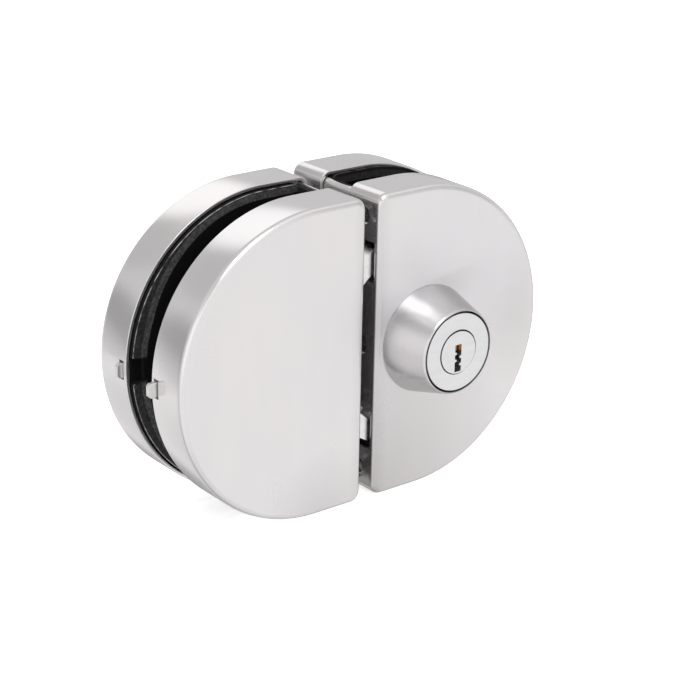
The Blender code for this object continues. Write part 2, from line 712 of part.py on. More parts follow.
def make_mechanism(looks):
    """Both hooks, the pinion, the idler and the pins that they turn on."""
    front_layer = (HOOK_FRONT_Y, LAYER_Y - CLEAR / 2)
    back_layer = (LAYER_Y + CLEAR / 2, HOOK_BACK_Y)
    upper_span = (UPPER_SPACE - SPARE_TEETH, UPPER_SPACE + HOOK_TURN + SPARE_TEETH)
    make_hook("upper_hook", UPPER_PIVOT, 1, UPPER_SPACE, upper_span, front_layer, looks["chrome"])
    to_idler = direction(LOWER_PIVOT, IDLER)
    lower_span = (to_idler - HOOK_TURN - SPARE_TEETH, to_idler + SPARE_TEETH)
    make_hook("lower_hook", LOWER_PIVOT, -1, LOWER_SPACE, lower_span, back_layer, looks["chrome"])
    hole = SPINDLE / 2 + CLEAR
    square = rectangle((CYLINDER_X - hole, -hole), (CYLINDER_X + hole, hole))
    pinion = gear_outline(PINION_TEETH, CYLINDER, PINION_TOOTH)
    extruded("drive_pinion", [pinion, square], *front_layer, looks["brass"])
    idler = [gear_outline(IDLER_TEETH, IDLER, IDLER_TOOTH), circle(IDLER, IDLER_PIN_R + CLEAR)]
    extruded("idler_gear", idler, HOOK_FRONT_Y, HOOK_BACK_Y, looks["brass"])
    ends = (CASE_Y + CLEAR, LID_OUT_Y - CLEAR)
    turned("upper_pivot_pin", solid_profile(PIVOT_R, *ends), UPPER_PIVOT, looks["steel"])
    turned("lower_pivot_pin", solid_profile(PIVOT_R, *ends), LOWER_PIVOT, looks["steel"])
    turned("idler_pin", solid_profile(IDLER_PIN_R, *ends), IDLER, looks["steel"])


def case_screw_places():
    """(x, z) of the screws that hold the case to the front plate."""
    right = CASE_X - CASE_BOSS_EDGE
    top = CASE_HALF - CASE_BOSS_EDGE
    return ((right, top), (right, -top))


def pin_holes():
    """Holes for the pins and the spindle, in the case's front and in its lid."""
    holes = [circle(place, PIVOT_R + CLEAR) for place in (UPPER_PIVOT, LOWER_PIVOT)]
    holes.append(circle(IDLER, IDLER_PIN_R + CLEAR))
    holes.append(circle(CYLINDER, SPINDLE / sqrt(2) + 2 * CLEAR))
    return holes


def make_case(looks):
    """The folded case of the mechanism, its lid and the screws that hold them."""
    outline = rounded_rectangle((CASE_LEFT, -CASE_HALF), (CASE_X, CASE_HALF), CASE_CORNER)
    screws = cylinder_screw_places()
    case = extruded("lock_case", [outline] + pin_holes(), CASE_Y, LID_IN_Y - CLEAR, looks["zinc"])
    inside_low = (CASE_LEFT + CASE_WALL, -CASE_HALF + CASE_WALL)
    inside_high = (CASE_X - CASE_WALL, CASE_HALF - CASE_WALL)
    room = rounded_rectangle(inside_low, inside_high, CASE_CORNER - CASE_WALL)
    bosses = [circle(place, BOSS_R) for place in case_screw_places()]
    hollow = extruded("lock_case_room", [room] + bosses, CASE_IN_Y, LID_IN_Y + MM)
    cut(case, hollow)
    for ending, sign in (("upper", 1), ("lower", -1)):
        heights = sorted((sign * HOOK_SLOT[0], sign * (CASE_HALF - CASE_WALL)))
        low = (CASE_LEFT - MM, CASE_IN_Y, heights[0])
        high = (CASE_LEFT + CASE_WALL + CLEAR, LID_IN_Y + MM, heights[1])
        cut(case, block(f"lock_case_way_{ending}", low, high))
    middle = solid_profile(SCREW_SHANK_R + CLEAR, CASE_LEFT - MM, CASE_LEFT + CASE_WALL + CLEAR)
    cut(case, turned("lock_case_screw_hole", middle, (-SCREW_Y, 0.0), axis="X"))
    tip = LID_OUT_Y - CASE_SCREW_LENGTH - CLEAR
    for index, place in enumerate(case_screw_places()):
        drill = solid_profile(CASE_SCREW_R + CLEAR, tip, LID_IN_Y + MM)
        cut(case, turned(f"lock_case_drill_{index}", drill, place))
    for index, place in enumerate(screws):
        cut(case, turned(f"lock_case_sink_{index}", sunk_hole_profile(), place))
    lid_holes = pin_holes() + [circle(place, CASE_SCREW_R + CLEAR) for place in case_screw_places()]
    extruded("case_lid", [outline] + lid_holes, LID_IN_Y, LID_OUT_Y, looks["zinc"])
    for index, place in enumerate(case_screw_places()):
        seat = -PLATE_IN + CLEAR
        end = LID_OUT_Y - CASE_SCREW_LENGTH
        profile = [(0, end), (CASE_SCREW_R, end), (CASE_SCREW_R, seat), (CASE_SCREW_HEAD_R, seat)]
        profile += [(CASE_SCREW_HEAD_R, seat + CASE_SCREW_HEAD), (0, seat + CASE_SCREW_HEAD)]
        turned(f"case_screw_{index + 1}", profile, place, looks["steel"])


def cylinder_screw_places():
    """(x, z) of the screws that hold the cylinder to the case."""
    return ((CYLINDER_X - CYLINDER_SCREW_PITCH, 0.0), (CYLINDER_X + CYLINDER_SCREW_PITCH, 0.0))


def sunk_hole_profile():
    """Countersunk hole through the case's front, wide towards the mechanism."""
    wide = CYLINDER_SCREW_HEAD_R + CLEAR
    narrow = CYLINDER_SCREW_R + CLEAR
    return [(0, CASE_Y - CLEAR), (narrow, CASE_Y - CLEAR), (narrow, CASE_Y), (wide, CASE_IN_Y),
            (wide, CASE_IN_Y + CLEAR), (0, CASE_IN_Y + CLEAR)]


def keyway_outline():
    """The key's slot as seen from the front: a tall slot with two wards from each side."""
    left = CYLINDER_X - KEYWAY_HALF
    right = CYLINDER_X + KEYWAY_HALF
    height = KEYWAY_TOP - KEYWAY_BOTTOM
    points = [(left, KEYWAY_TOP), (left, KEYWAY_BOTTOM), (right, KEYWAY_BOTTOM)]
    for share in (0.20, 0.47):
        level = KEYWAY_BOTTOM + height * share
        points += [(right, level), (right - WARD, level + WARD_HEIGHT / 4)]
        points += [(right - WARD, level + 3 * WARD_HEIGHT / 4), (right, level + WARD_HEIGHT)]
    points.append((right, KEYWAY_TOP))
    wards = []
    for share in (0.62, 0.36):
        level = KEYWAY_BOTTOM + height * share
        wards += [(left, level + WARD_HEIGHT), (left + WARD, level + 3 * WARD_HEIGHT / 4)]
        wards += [(left + WARD, level + WARD_HEIGHT / 4), (left, level)]
    return points[:1] + wards + points[1:]


def make_cylinder(looks):
    """The key cylinder: housing, plug, front pin, guard and two screws."""
    back = -INNER_Y
    bore = PLUG_R + PLUG_GAP
    collar = PLUG_COLLAR_R + PLUG_GAP
    step = back - PLUG_COLLAR - PLUG_GAP
    front = CYLINDER_FACE_Y
    profile = [(bore, front), (HOUSING_R - HOUSING_EDGE, front), (HOUSING_R, front + HOUSING_EDGE)]
    profile += [(HOUSING_R, back), (collar, back), (collar, step), (bore, step)]
    housing = turned("cylinder_housing", profile, CYLINDER, looks["satin"], steps=ROUND_STEPS)
    end = CASE_Y - CYLINDER_SCREW_LENGTH
    for index, place in enumerate(cylinder_screw_places()):
        drill = solid_profile(CYLINDER_SCREW_R + CLEAR, end - CLEAR, back + MM)
        cut(housing, turned(f"cylinder_housing_drill_{index}", drill, place))
        top = CASE_IN_Y
        screw = [(0, end), (CYLINDER_SCREW_R, end), (CYLINDER_SCREW_R, CASE_Y), (CYLINDER_SCREW_HEAD_R, top), (0, top)]
        turned(f"cylinder_screw_{index + 1}", screw, place, looks["steel"])
    shoulder = back - PLUG_COLLAR
    profile = [(0, front), (PLUG_R, front), (PLUG_R, shoulder), (PLUG_COLLAR_R, shoulder)]
    profile += [(PLUG_COLLAR_R, back), (0, back)]
    plug = turned("cylinder_plug", profile, CYLINDER, looks["satin"], steps=ROUND_STEPS)
    cut(plug, extruded("cylinder_plug_keyway", [keyway_outline()], front - MM, front + KEYWAY_DEEP))
    half = SPINDLE / 2 + CLEAR
    low = (CYLINDER_X - half, back - SPINDLE_SOCKET, -half)
    cut(plug, block("cylinder_plug_socket", low, (CYLINDER_X + half, back + MM, half)))
    make_key_pin(plug, looks["copper"])
    make_guard(looks["brushed"])


def make_key_pin(plug, look):
    """The front key pin, which hangs into the top of the keyway, and its bore in the plug."""
    y = CYLINDER_FACE_Y + KEY_PIN_SET_BACK
    bottom = KEYWAY_TOP - KEY_PIN_REACH
    top = bottom + KEY_PIN_LENGTH
    pin = extruded("key_pin", [circle((0, 0), KEY_PIN_R)], 0, KEY_PIN_LENGTH, look)
    pin.location = (CYLINDER_X, y, bottom)
    pin.rotation_euler = (pi / 2, 0, 0)
    room = top + KEY_PIN_TRAVEL + CLEAR - KEYWAY_TOP + MM
    bore = extruded("cylinder_plug_pin_bore", [circle((0, 0), KEY_PIN_R + CLEAR)], 0, room)
    bore.location = (CYLINDER_X, y, KEYWAY_TOP - MM)
    bore.rotation_euler = (pi / 2, 0, 0)
    cut(plug, bore)


def make_guard(look):
    """The tapered guard ring round the cylinder, with its thin foot."""
    foot = -FACE_Y - CLEAR
    front = CYLINDER_FACE_Y - HOUSING_EDGE
    bore = HOUSING_R + CLEAR
    profile = [(bore, front), (GUARD_TOP_R - GUARD_EDGE, front), (GUARD_TOP_R, front + GUARD_EDGE)]
    profile += [(GUARD_BASE_R, foot - GUARD_STEP), (GUARD_STEP_R - GUARD_STEP / 2, foot - GUARD_STEP)]
    profile += [(GUARD_STEP_R, foot - GUARD_STEP / 2), (GUARD_STEP_R, foot), (bore, foot)]
    turned("cylinder_guard", profile, CYLINDER, look, steps=ROUND_STEPS)


def make_turn(looks):
    """The square spindle, and the thumb turn with its rose and clip at the back."""
    half = SPINDLE / 2
    rose_end = FACE_Y + CLEAR + ROSE
    base = rose_end + CLEAR
    grip = base + TURN_BASE
    tip = -CYLINDER_FACE_Y + HOUSING_EDGE
    front = -INNER_Y - SPINDLE_SOCKET + CLEAR
    square = rectangle((CYLINDER_X - half, -half), (CYLINDER_X + half, half))
    extruded("spindle", [square], front, base, looks["steel"])
    neck = INNER_Y - TURN_NECK_IN
    groove = INNER_Y - CLEAR - CLIP
    groove_r = TURN_NECK_R - CLIP_DEEP
    profile = [(0, neck), (TURN_NECK_R, neck), (TURN_NECK_R, groove - CLEAR), (groove_r, groove - CLEAR)]
    profile += [(groove_r, INNER_Y), (TURN_NECK_R, INNER_Y), (TURN_NECK_R, base), (TURN_BASE_R - CLEAR, base)]
    profile += [(TURN_BASE_R, base + CLEAR), (TURN_BASE_R - MM, grip), (0, grip)]
    turn = turned("thumb_turn", profile, CYLINDER, looks["brushed"], steps=ROUND_STEPS)
    join(turn, make_grip(grip - MM, tip))
    hole = half + CLEAR
    low = (CYLINDER_X - hole, neck - MM, -hole)
    cut(turn, block("thumb_turn_socket", low, (CYLINDER_X + hole, base + CLEAR, hole)))
    ring = [(groove_r + CLEAR, groove), (CLIP_R, groove), (CLIP_R, groove + CLIP), (groove_r + CLEAR, groove + CLIP)]
    turned("thumb_turn_clip", ring, CYLINDER, looks["steel"], steps=NECK_STEPS)
    rose = [(TURN_NECK_R + CLEAR, FACE_Y + CLEAR), (ROSE_R, FACE_Y + CLEAR), (ROSE_R, rose_end - MM)]
    rose += [(ROSE_R - MM, rose_end), (TURN_NECK_R + CLEAR, rose_end)]
    turned("thumb_turn_rose", rose, CYLINDER, looks["brushed"], steps=ROUND_STEPS)


def make_grip(low, high):
    """The upright wing of the thumb turn, narrower at its outer edge."""
    rings = []
    wing = TURN_GRIP_HALF - TURN_GRIP_WIDE
    for below, shrink in TURN_GRIP_EDGE:
        radius = TURN_GRIP_WIDE - shrink
        outline = arc((CYLINDER_X, wing), radius, 0, pi, WING_STEPS)
        outline += arc((CYLINDER_X, -wing), radius, pi, 2 * pi, WING_STEPS)
        rings.append([(x, max(low, high - below), z) for x, z in outline])
    return lofted("thumb_turn_grip", rings, None)


def make_looks():
    """The materials by name."""
    return {
        "brushed": material("brushed_steel", (0.72, 0.71, 0.70), 0.32, 1.0),
        "sheet": material("sheet_steel", (0.62, 0.61, 0.60), 0.38, 1.0),
        "steel": material("screw_steel", (0.55, 0.55, 0.55), 0.30, 1.0),
        "chrome": material("hook_chrome", (0.86, 0.86, 0.87), 0.12, 1.0),
        "satin": material("cylinder_satin", (0.80, 0.80, 0.80), 0.25, 1.0),
        "zinc": material("case_zinc", (0.45, 0.46, 0.47), 0.45, 1.0),
        "brass": material("gear_brass", (0.72, 0.55, 0.28), 0.35, 1.0),
        "copper": material("pin_copper", (0.62, 0.33, 0.18), 0.35, 1.0),
        "rubber": material("gasket_rubber", (0.03, 0.03, 0.03), 0.80, 0.0),
    }


def build():
    """Build both units, the mechanism, the cylinder and the thumb turn."""
    clear_scene()
    looks = make_looks()
    lock = make_unit("lock", 1, looks)
    strike = make_unit("strike", -1, looks)
    cut_hook_slots(lock["front"], 1, HOOK_SLOT)
    cut_hook_slots(strike["front"], -1, STRIKE_SLOT)
    reach = FACE_Y + MM
    hole = solid_profile(HOUSING_R + CLEAR, -reach, -INNER_Y + MM)
    cut(lock["front"], turned("lock_front_cover_bore", hole, CYLINDER, steps=ROUND_STEPS))
    neck = solid_profile(TURN_NECK_R + CLEAR, INNER_Y - MM, reach)
    cut(lock["back"], turned("lock_back_cover_bore", neck, CYLINDER, steps=NECK_STEPS))
    make_case(looks)
    make_mechanism(looks)
    make_cylinder(looks)
    make_turn(looks)


build()
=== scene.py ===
"""Looks for the sliding glass door lock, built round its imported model.

Metres, with the key side at -Y and +Z up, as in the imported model. Outlines are drawn for the
lock unit at +X, as (x, z) points, and mirrored for the strike unit at -X.
"""

import json
from math import asin, cos, pi, radians, sin

import bmesh
import bpy
from mathutils import Matrix, Vector


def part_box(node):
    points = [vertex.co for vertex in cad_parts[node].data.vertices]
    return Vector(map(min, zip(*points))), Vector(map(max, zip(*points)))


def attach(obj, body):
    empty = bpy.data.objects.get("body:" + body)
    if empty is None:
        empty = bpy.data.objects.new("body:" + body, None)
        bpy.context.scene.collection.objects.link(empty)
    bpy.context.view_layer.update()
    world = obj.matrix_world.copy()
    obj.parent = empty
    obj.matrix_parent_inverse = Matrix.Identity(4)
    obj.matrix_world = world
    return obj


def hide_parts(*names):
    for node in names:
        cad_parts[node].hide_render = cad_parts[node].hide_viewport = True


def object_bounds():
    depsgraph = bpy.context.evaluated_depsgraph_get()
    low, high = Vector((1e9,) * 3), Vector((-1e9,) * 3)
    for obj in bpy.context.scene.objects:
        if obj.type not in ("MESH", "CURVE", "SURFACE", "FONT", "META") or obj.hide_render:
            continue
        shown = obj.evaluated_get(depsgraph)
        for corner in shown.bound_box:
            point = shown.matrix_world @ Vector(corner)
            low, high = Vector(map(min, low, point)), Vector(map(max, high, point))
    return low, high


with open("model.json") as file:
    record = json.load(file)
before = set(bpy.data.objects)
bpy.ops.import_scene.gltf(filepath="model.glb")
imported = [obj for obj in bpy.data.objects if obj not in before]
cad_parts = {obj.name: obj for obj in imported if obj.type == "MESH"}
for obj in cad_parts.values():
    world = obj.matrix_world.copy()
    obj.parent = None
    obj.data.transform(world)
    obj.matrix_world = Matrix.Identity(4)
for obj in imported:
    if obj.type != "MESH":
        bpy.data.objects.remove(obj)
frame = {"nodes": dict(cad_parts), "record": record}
CAD_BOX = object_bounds()

MM = 0.001
SHARP_ANGLE = radians(32)
EDGE_STEPS = 3

# Camera, from a fit to the outlines of the two units
CAMERA_AZIMUTH = radians(38.6476)
CAMERA_ELEVATION = radians(21.1627)
CAMERA_ROLL = radians(1.208)
CAMERA_DISTANCE = 0.64882
CAMERA_AIM = Vector((0.010412, 0.0, -0.008989))
FOCAL_PIXELS = 1920.1
FRAME_PIXELS = 700
SENSOR = 36.0

# Body of one unit
RADIUS = 52.5 * MM
FLANK = 18.5 * MM
UNIT_GAP = 5.0 * MM
DEPTH = 47.4 * MM
RIM_GAP = 15.0 * MM
COVER_WALL = 1.2 * MM
FACE_RADIUS = 2.2 * MM
CORNER_RADIUS = 4.0 * MM
RIM_ROUND = 0.25 * MM
CLEAR = 0.3 * MM
GLASS = 12.0 * MM
SHEET = 1.5 * MM
GASKET = 2.8 * MM
GASKET_INSET = 1.65 * MM
LOCK_GASKET_INSET = 0.9 * MM
TONGUE_HALF = 2.4 * MM
TONGUE_PROUD = 3.0 * MM
BACK_TONGUE_PROUD = 2.0 * MM
TONGUE_CHAMFER = 0.8 * MM
TONGUE_SPARE = 0.8 * MM
WEB_DROP = 1.5 * MM
WEB_SADDLE = 0.8 * MM
NOTCH_X = 30.0 * MM
NOTCH_HALF = 23.0 * MM
NICK_HALF = 4.5 * MM
NICK_DEEP = 4.0 * MM
NICK_FLOOR = 1.0 * MM
FLOOR_INSET = 0.4 * MM

STRAIGHT_X = UNIT_GAP / 2
ROUND_X = STRAIGHT_X + FLANK
FACE_Y = DEPTH / 2
RIM_Y = RIM_GAP / 2
INNER_Y = FACE_Y - COVER_WALL
GASKET_IN = GLASS / 2
GASKET_OUT = GASKET_IN + GASKET
PLATE_IN = GASKET_OUT + CLEAR
PLATE_OUT = PLATE_IN + SHEET
WEB_X = STRAIGHT_X + COVER_WALL + CLEAR
WEB_IN_X = WEB_X + SHEET

# Cover screws
SCREW_Z = 44.5 * MM
SCREW_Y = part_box("lock_front_screw_upper")[0].y + 3.2 * MM
SCREW_HEAD_R = 3.2 * MM
SCREW_SHANK_R = 1.5 * MM
SCREW_SUNK = 0.3 * MM
SCREW_LENGTH = 4.0 * MM
SOCKET_R = 1.9 * MM
SOCKET_DEEP = 0.8 * MM
BOLT_X = 13.2 * MM
BOLT_Z = 17.0 * MM
BOLT_WAY_R = 2.8 * MM
TAB_HALF = 3.5 * MM
TAB_BEYOND = 3.6 * MM

# Cylinder, guard and thumb turn
CYLINDER_X = 23.5 * MM
CYLINDER_FACE_Y = -40.0 * MM
HOUSING_R = 13.2 * MM
PLUG_R = 7.3 * MM
PLUG_SHIFT = 0.2 * MM
GUARD_BASE_R = 18.5 * MM
GUARD_TOP_R = 14.5 * MM
GUARD_STEP_R = 19.6 * MM
GUARD_STEP = 0.2 * MM
GUARD_LIP = 0.5 * MM
HOUSING_GAP = 0.7 * MM
PLUG_GAP = 0.35 * MM
PIN_R = 1.15 * MM
PIN_LONG = 4.4 * MM
PIN_HANG = 2.9 * MM
PIN_BACK = 2.4 * MM
SPINDLE_HALF = 1.9 * MM
SPINDLE_WAY_R = 3.0 * MM
SHAFT_R = 5.0 * MM
ROSE_R = 14.5 * MM
ROSE_THICK = 3.0 * MM
KNOB_R = 10.5 * MM
KNOB_THICK = 3.6 * MM
WING_REACH = 8.2 * MM
WING_HALF = 3.3 * MM
KEYWAY_TOP = 2.6 * MM
KEYWAY_BOTTOM = -6.8 * MM
KEYWAY_HALF = 1.35 * MM

# Depth of the hooks, and the slots that they pass, as (low, high) heights above the middle
HOOK_FRONT_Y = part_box("upper_hook")[0].y
HOOK_BACK_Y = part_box("upper_hook")[1].y
HOOK_SLOT = (22.0 * MM, 36.0 * MM)
STRIKE_SLOT = (18.0 * MM, 31.0 * MM)
SLOT_FRONT_Y = HOOK_FRONT_Y - 3 * CLEAR
SLOT_BACK_Y = HOOK_BACK_Y + 2 * CLEAR
KEEPER_HALF = 14.0 * MM


def make_camera():
    """Place the camera as the photograph's was."""
    back = Vector((-sin(CAMERA_AZIMUTH) * cos(CAMERA_ELEVATION),
                   -cos(CAMERA_AZIMUTH) * cos(CAMERA_ELEVATION), sin(CAMERA_ELEVATION)))
    right = Vector((cos(CAMERA_AZIMUTH), -sin(CAMERA_AZIMUTH), 0))
    up = back.cross(right)
    turned_right = cos(CAMERA_ROLL) * right + sin(CAMERA_ROLL) * up
    turned_up = -sin(CAMERA_ROLL) * right + cos(CAMERA_ROLL) * up
    data = bpy.data.cameras.new("camera")
    data.sensor_width = SENSOR
    data.lens = FOCAL_PIXELS * SENSOR / FRAME_PIXELS
    data.clip_start = 0.01
    data.clip_end = 50
    camera = bpy.data.objects.new("camera", data)
    bpy.context.scene.collection.objects.link(camera)
    matrix = Matrix((turned_right, turned_up, back)).transposed().to_4x4()
    matrix.translation = CAMERA_AIM + back * CAMERA_DISTANCE
    camera.matrix_world = matrix
    bpy.context.scene.camera = camera


make_camera()


def polar(centre, radius, angle):
    """The point at a radius and an angle from a centre."""
    return (centre[0] + radius * cos(angle), centre[1] + radius * sin(angle))


def arc(centre, radius, start, end, steps):
    """Points on an arc, both ends included."""
    return [polar(centre, radius, start + (end - start) * step / steps) for step in range(steps + 1)]


def circle(centre, radius, steps=48):
    """Points round a full circle."""
    return arc(centre, radius, 0, 2 * pi, steps)[:-1]


def rectangle(low, high):
    """Corners of a rectangle from its lowest and highest corner."""
    return [low, (high[0], low[1]), high, (low[0], high[1])]


def mirrored(points, side):
    """The outline on the lock side (1) or on the strike side (-1)."""
    return [(side * x, z) for x, z in points]


def unit_outline(inset=0.0, arc_steps=120, corner_steps=12):
    """Outline of a unit, moved inwards."""
    radius = RADIUS - inset
    corner = CORNER_RADIUS - inset
    corner_x = STRAIGHT_X + inset + corner
    corner_z = radius - corner
    points = arc((ROUND_X, 0), radius, -pi / 2, pi / 2, arc_steps)
    points += arc((corner_x, corner_z), corner, pi / 2, pi, corner_steps)
    points += arc((corner_x, -corner_z), corner, pi, 3 * pi / 2, corner_steps)
    return points


def area(points):
    """Signed area of an outline."""
    following = points[1:] + points[:1]
    return sum(a[0] * b[1] - b[0] * a[1] for a, b in zip(points, following)) / 2


def shrunk(points, distance):
    """The outline moved inwards by a distance, with mitred corners."""
    sign = 1 if area(points) > 0 else -1
    moved = []
    for index, point in enumerate(points):
        before = Vector(point) - Vector(points[index - 1])
        after = Vector(points[(index + 1) % len(points)]) - Vector(point)
        before.normalize()
        after.normalize()
        normals = [Vector((-edge.y, edge.x)) * sign for edge in (before, after)]
        middle = normals[0] + normals[1]
        scale = max(0.3, (1 + normals[0].dot(normals[1])))
        moved.append(tuple(Vector(point) + middle * (distance / scale)))
    return moved


def finish_mesh(name, data, look, smooth=True):
    """Turn mesh data into an object with its material and smooth shading."""
    mesh = bpy.data.meshes.new(name)
    bmesh.ops.remove_doubles(data, verts=data.verts[:], dist=1e-7)
    bmesh.ops.recalc_face_normals(data, faces=data.faces[:])
    data.to_mesh(mesh)
    data.free()
    item = bpy.data.objects.new(name, mesh)
    bpy.context.scene.collection.objects.link(item)
    if look:
        mesh.materials.append(look)
    if smooth:
        mesh.shade_smooth()
        mesh.set_sharp_from_angle(angle=SHARP_ANGLE)
    return item


def lofted(name, rings, look=None):
    """Skin a row of equal rings of points and close both ends."""
    data = bmesh.new()
    rows = [[data.verts.new(point) for point in ring] for ring in rings]
    for row, following in zip(rows, rows[1:]):
        for index in range(len(row)):
            after = (index + 1) % len(row)
            data.faces.new((row[index], row[after], following[after], following[index]))
    data.faces.new(rows[0])
    data.faces.new(rows[-1])
    return finish_mesh(name, data, look)


def placed(point, height, axis):
    """A point of an outline, at a height along Y or X."""
    return (point[0], height, point[1]) if axis == "Y" else (height, point[0], point[1])


def prism(name, outlines, low, high, look=None, bevel=0.0, axis="Y"):
    """Extrude an outline with holes between two heights, with rounded edges."""
    levels = [(0.0, low), (0.0, high)]
    if bevel:
        turns = [pi / 2 * step / EDGE_STEPS for step in range(EDGE_STEPS + 1)]
        levels = [(bevel * (1 - sin(turn)), low + bevel * (1 - cos(turn))) for turn in turns]
        levels += [(inset, high + low - height) for inset, height in levels[::-1]]
    data = bmesh.new()
    first = []
    last = []
    for number, outline in enumerate(outlines):
        sign = -1 if number else 1
        rows = []
        for inset, height in levels:
            ring = shrunk(outline, sign * inset) if inset else outline
            rows.append([data.verts.new(placed(point, height, axis)) for point in ring])
        for row, following in zip(rows, rows[1:]):
            for index in range(len(row)):
                after = (index + 1) % len(row)
                data.faces.new((row[index], row[after], following[after], following[index]))
        for rows_end, edges in ((rows[0], first), (rows[-1], last)):
            for index, vertex in enumerate(rows_end):
                edges.append(data.edges.get((vertex, rows_end[(index + 1) % len(rows_end)])))
    for edges in (first, last):
        bmesh.ops.triangle_fill(data, edges=edges, use_beauty=True)
    return finish_mesh(name, data, look)


def turned(name, profile, centre, look=None, axis="Y", steps=128):
    """Turn a profile of (radius, height) points about an axis through centre."""
    data = bmesh.new()
    rows = []
    for radius, height in profile:
        if radius == 0:
            rows.append([data.verts.new(placed(centre, height, axis))])
        else:
            ring = [polar(centre, radius, 2 * pi * step / steps) for step in range(steps)]
            rows.append([data.verts.new(placed(point, height, axis)) for point in ring])
    if profile[0][0] != 0:
        rows.append(rows[0])
    for row, following in zip(rows, rows[1:]):
        for index in range(steps):
            after = (index + 1) % steps
            corners = [row[index % len(row)], row[after % len(row)]]
            corners += [following[after % len(following)], following[index % len(following)]]
            data.faces.new(list(dict.fromkeys(corners)))
    return finish_mesh(name, data, look)


def rounded(profile, radius, steps=4):
    """Round the inner corners of an open profile of (radius, height) points."""
    points = [profile[0]]
    for before, corner, after in zip(profile, profile[1:], profile[2:]):
        here = Vector(corner)
        to_before = Vector(before) - here
        to_after = Vector(after) - here
        reach = min(radius, to_before.length * 0.45, to_after.length * 0.45)
        start = here + to_before.normalized() * reach
        end = here + to_after.normalized() * reach
        for step in range(steps + 1):
            share = step / steps
            points.append(tuple(start * (1 - share) ** 2 + here * 2 * share * (1 - share) + end * share ** 2))
    points.append(profile[-1])
    return points


def carve(target, cuts=(), joins=(), keeps=()):
    """Cut shapes out of a piece, join others on, keep what lies in others, and apply it."""
    jobs = [(tool, "UNION") for tool in joins]
    jobs += [(tool, "INTERSECT") for tool in keeps]
    jobs += [(tool, "DIFFERENCE") for tool in cuts]
    for tool, operation in jobs:
        modifier = target.modifiers.new(tool.name, "BOOLEAN")
        modifier.operation = operation
        modifier.solver = "EXACT"
        modifier.object = tool
    graph = bpy.context.evaluated_depsgraph_get()
    mesh = bpy.data.meshes.new_from_object(target.evaluated_get(graph))
    target.modifiers.clear()
    target.data = mesh
    for tool, _ in jobs:
        bpy.data.objects.remove(tool)
    mesh.shade_smooth()
    mesh.set_sharp_from_angle(angle=SHARP_ANGLE)
    return target


def soften(piece, width):
    """Round the sharp edges of a piece."""
    bevel = piece.modifiers.new("soft_edges", "BEVEL")
    bevel.width = width
    bevel.segments = 2
    bevel.limit_method = "ANGLE"
    bevel.angle_limit = radians(50)
    bevel.miter_outer = "MITER_ARC"


def block(name, low, high):
    """A box used as a cutter."""
    return prism(name, [rectangle((low[0], low[2]), (high[0], high[2]))], low[1], high[1])


def spans(*pairs):
    """Pairs of values, each in rising order."""
    return [sorted(pair) for pair in pairs]


class Nodes:
    """Short hand for building a material's nodes."""

    def __init__(self, name):
        self.material = bpy.data.materials.new(name)
        self.material.use_nodes = True
        self.tree = self.material.node_tree
        self.shader = self.tree.nodes["Principled BSDF"]

    def node(self, kind, values=(), **settings):
        """Add a node, set its properties, and set or link its inputs."""
        made = self.tree.nodes.new(kind)
        for key, value in settings.items():
            setattr(made, key, value)
        for key, value in dict(values).items():
            if isinstance(value, bpy.types.NodeSocket):
                self.tree.links.new(value, made.inputs[key])
            else:
                made.inputs[key].default_value = value
        return made

    def place(self, scale=(1, 1, 1)):
        """Object coordinates, stretched."""
        coords = self.node("ShaderNodeTexCoord").outputs["Object"]
        return self.node("ShaderNodeMapping", {"Vector": coords, "Scale": scale}).outputs["Vector"]

    def noise(self, scale, stretch=(1, 1, 1), detail=3.0, rough=0.55, vector=None):
        """Noise over the object's own coordinates."""
        vector = vector or self.place(stretch)
        made = self.node("ShaderNodeTexNoise", {"Vector": vector, "Scale": scale,
                                                "Detail": detail, "Roughness": rough})
        return made.outputs["Fac"]

    def span(self, value, low, high, to_low, to_high):
        """Map a value from one range to another, clamped."""
        made = self.node("ShaderNodeMapRange", {"Value": value, "From Min": low, "From Max": high,
                                                "To Min": to_low, "To Max": to_high})
        return made.outputs["Result"]

    def math(self, operation, first, second=0.0):
        """One math node."""
        return self.node("ShaderNodeMath", {0: first, 1: second}, operation=operation).outputs[0]

    def mix(self, share, first, second):
        """Mix two colours."""
        made = self.node("ShaderNodeMix", {"Factor": share, "A": first, "B": second}, data_type="RGBA")
        return made.outputs["Result"]

    def use(self, name, value):
        """Set or link an input of the shader."""
        if isinstance(value, bpy.types.NodeSocket):
            self.tree.links.new(value, self.shader.inputs[name])
        else:
            self.shader.inputs[name].default_value = value

    def bump(self, height, strength, distance):
        """Bump from a height."""
        made = self.node("ShaderNodeBump", {"Height": height, "Strength": strength, "Distance": distance})
        self.use("Normal", made.outputs["Normal"])


def color(value, red=1.0, green=1.0, blue=1.0):
    """A grey, tinted."""
    return (value * red, value * green, value * blue, 1.0)


def painted_shade_patch(make, parts, centre, reach, depth):
    """A broad soft patch of painted shade about a point (x, z), darkest at its centre, as a factor."""
    across = make.math("SUBTRACT", parts.outputs["X"], centre[0])
    up = make.math("SUBTRACT", parts.outputs["Z"], centre[1])
    squares = make.math("ADD", make.math("POWER", across, 2.0), make.math("POWER", up, 2.0))
    return make.span(make.math("SQRT", squares), 0.0, reach, 1.0 - depth, 1.0)


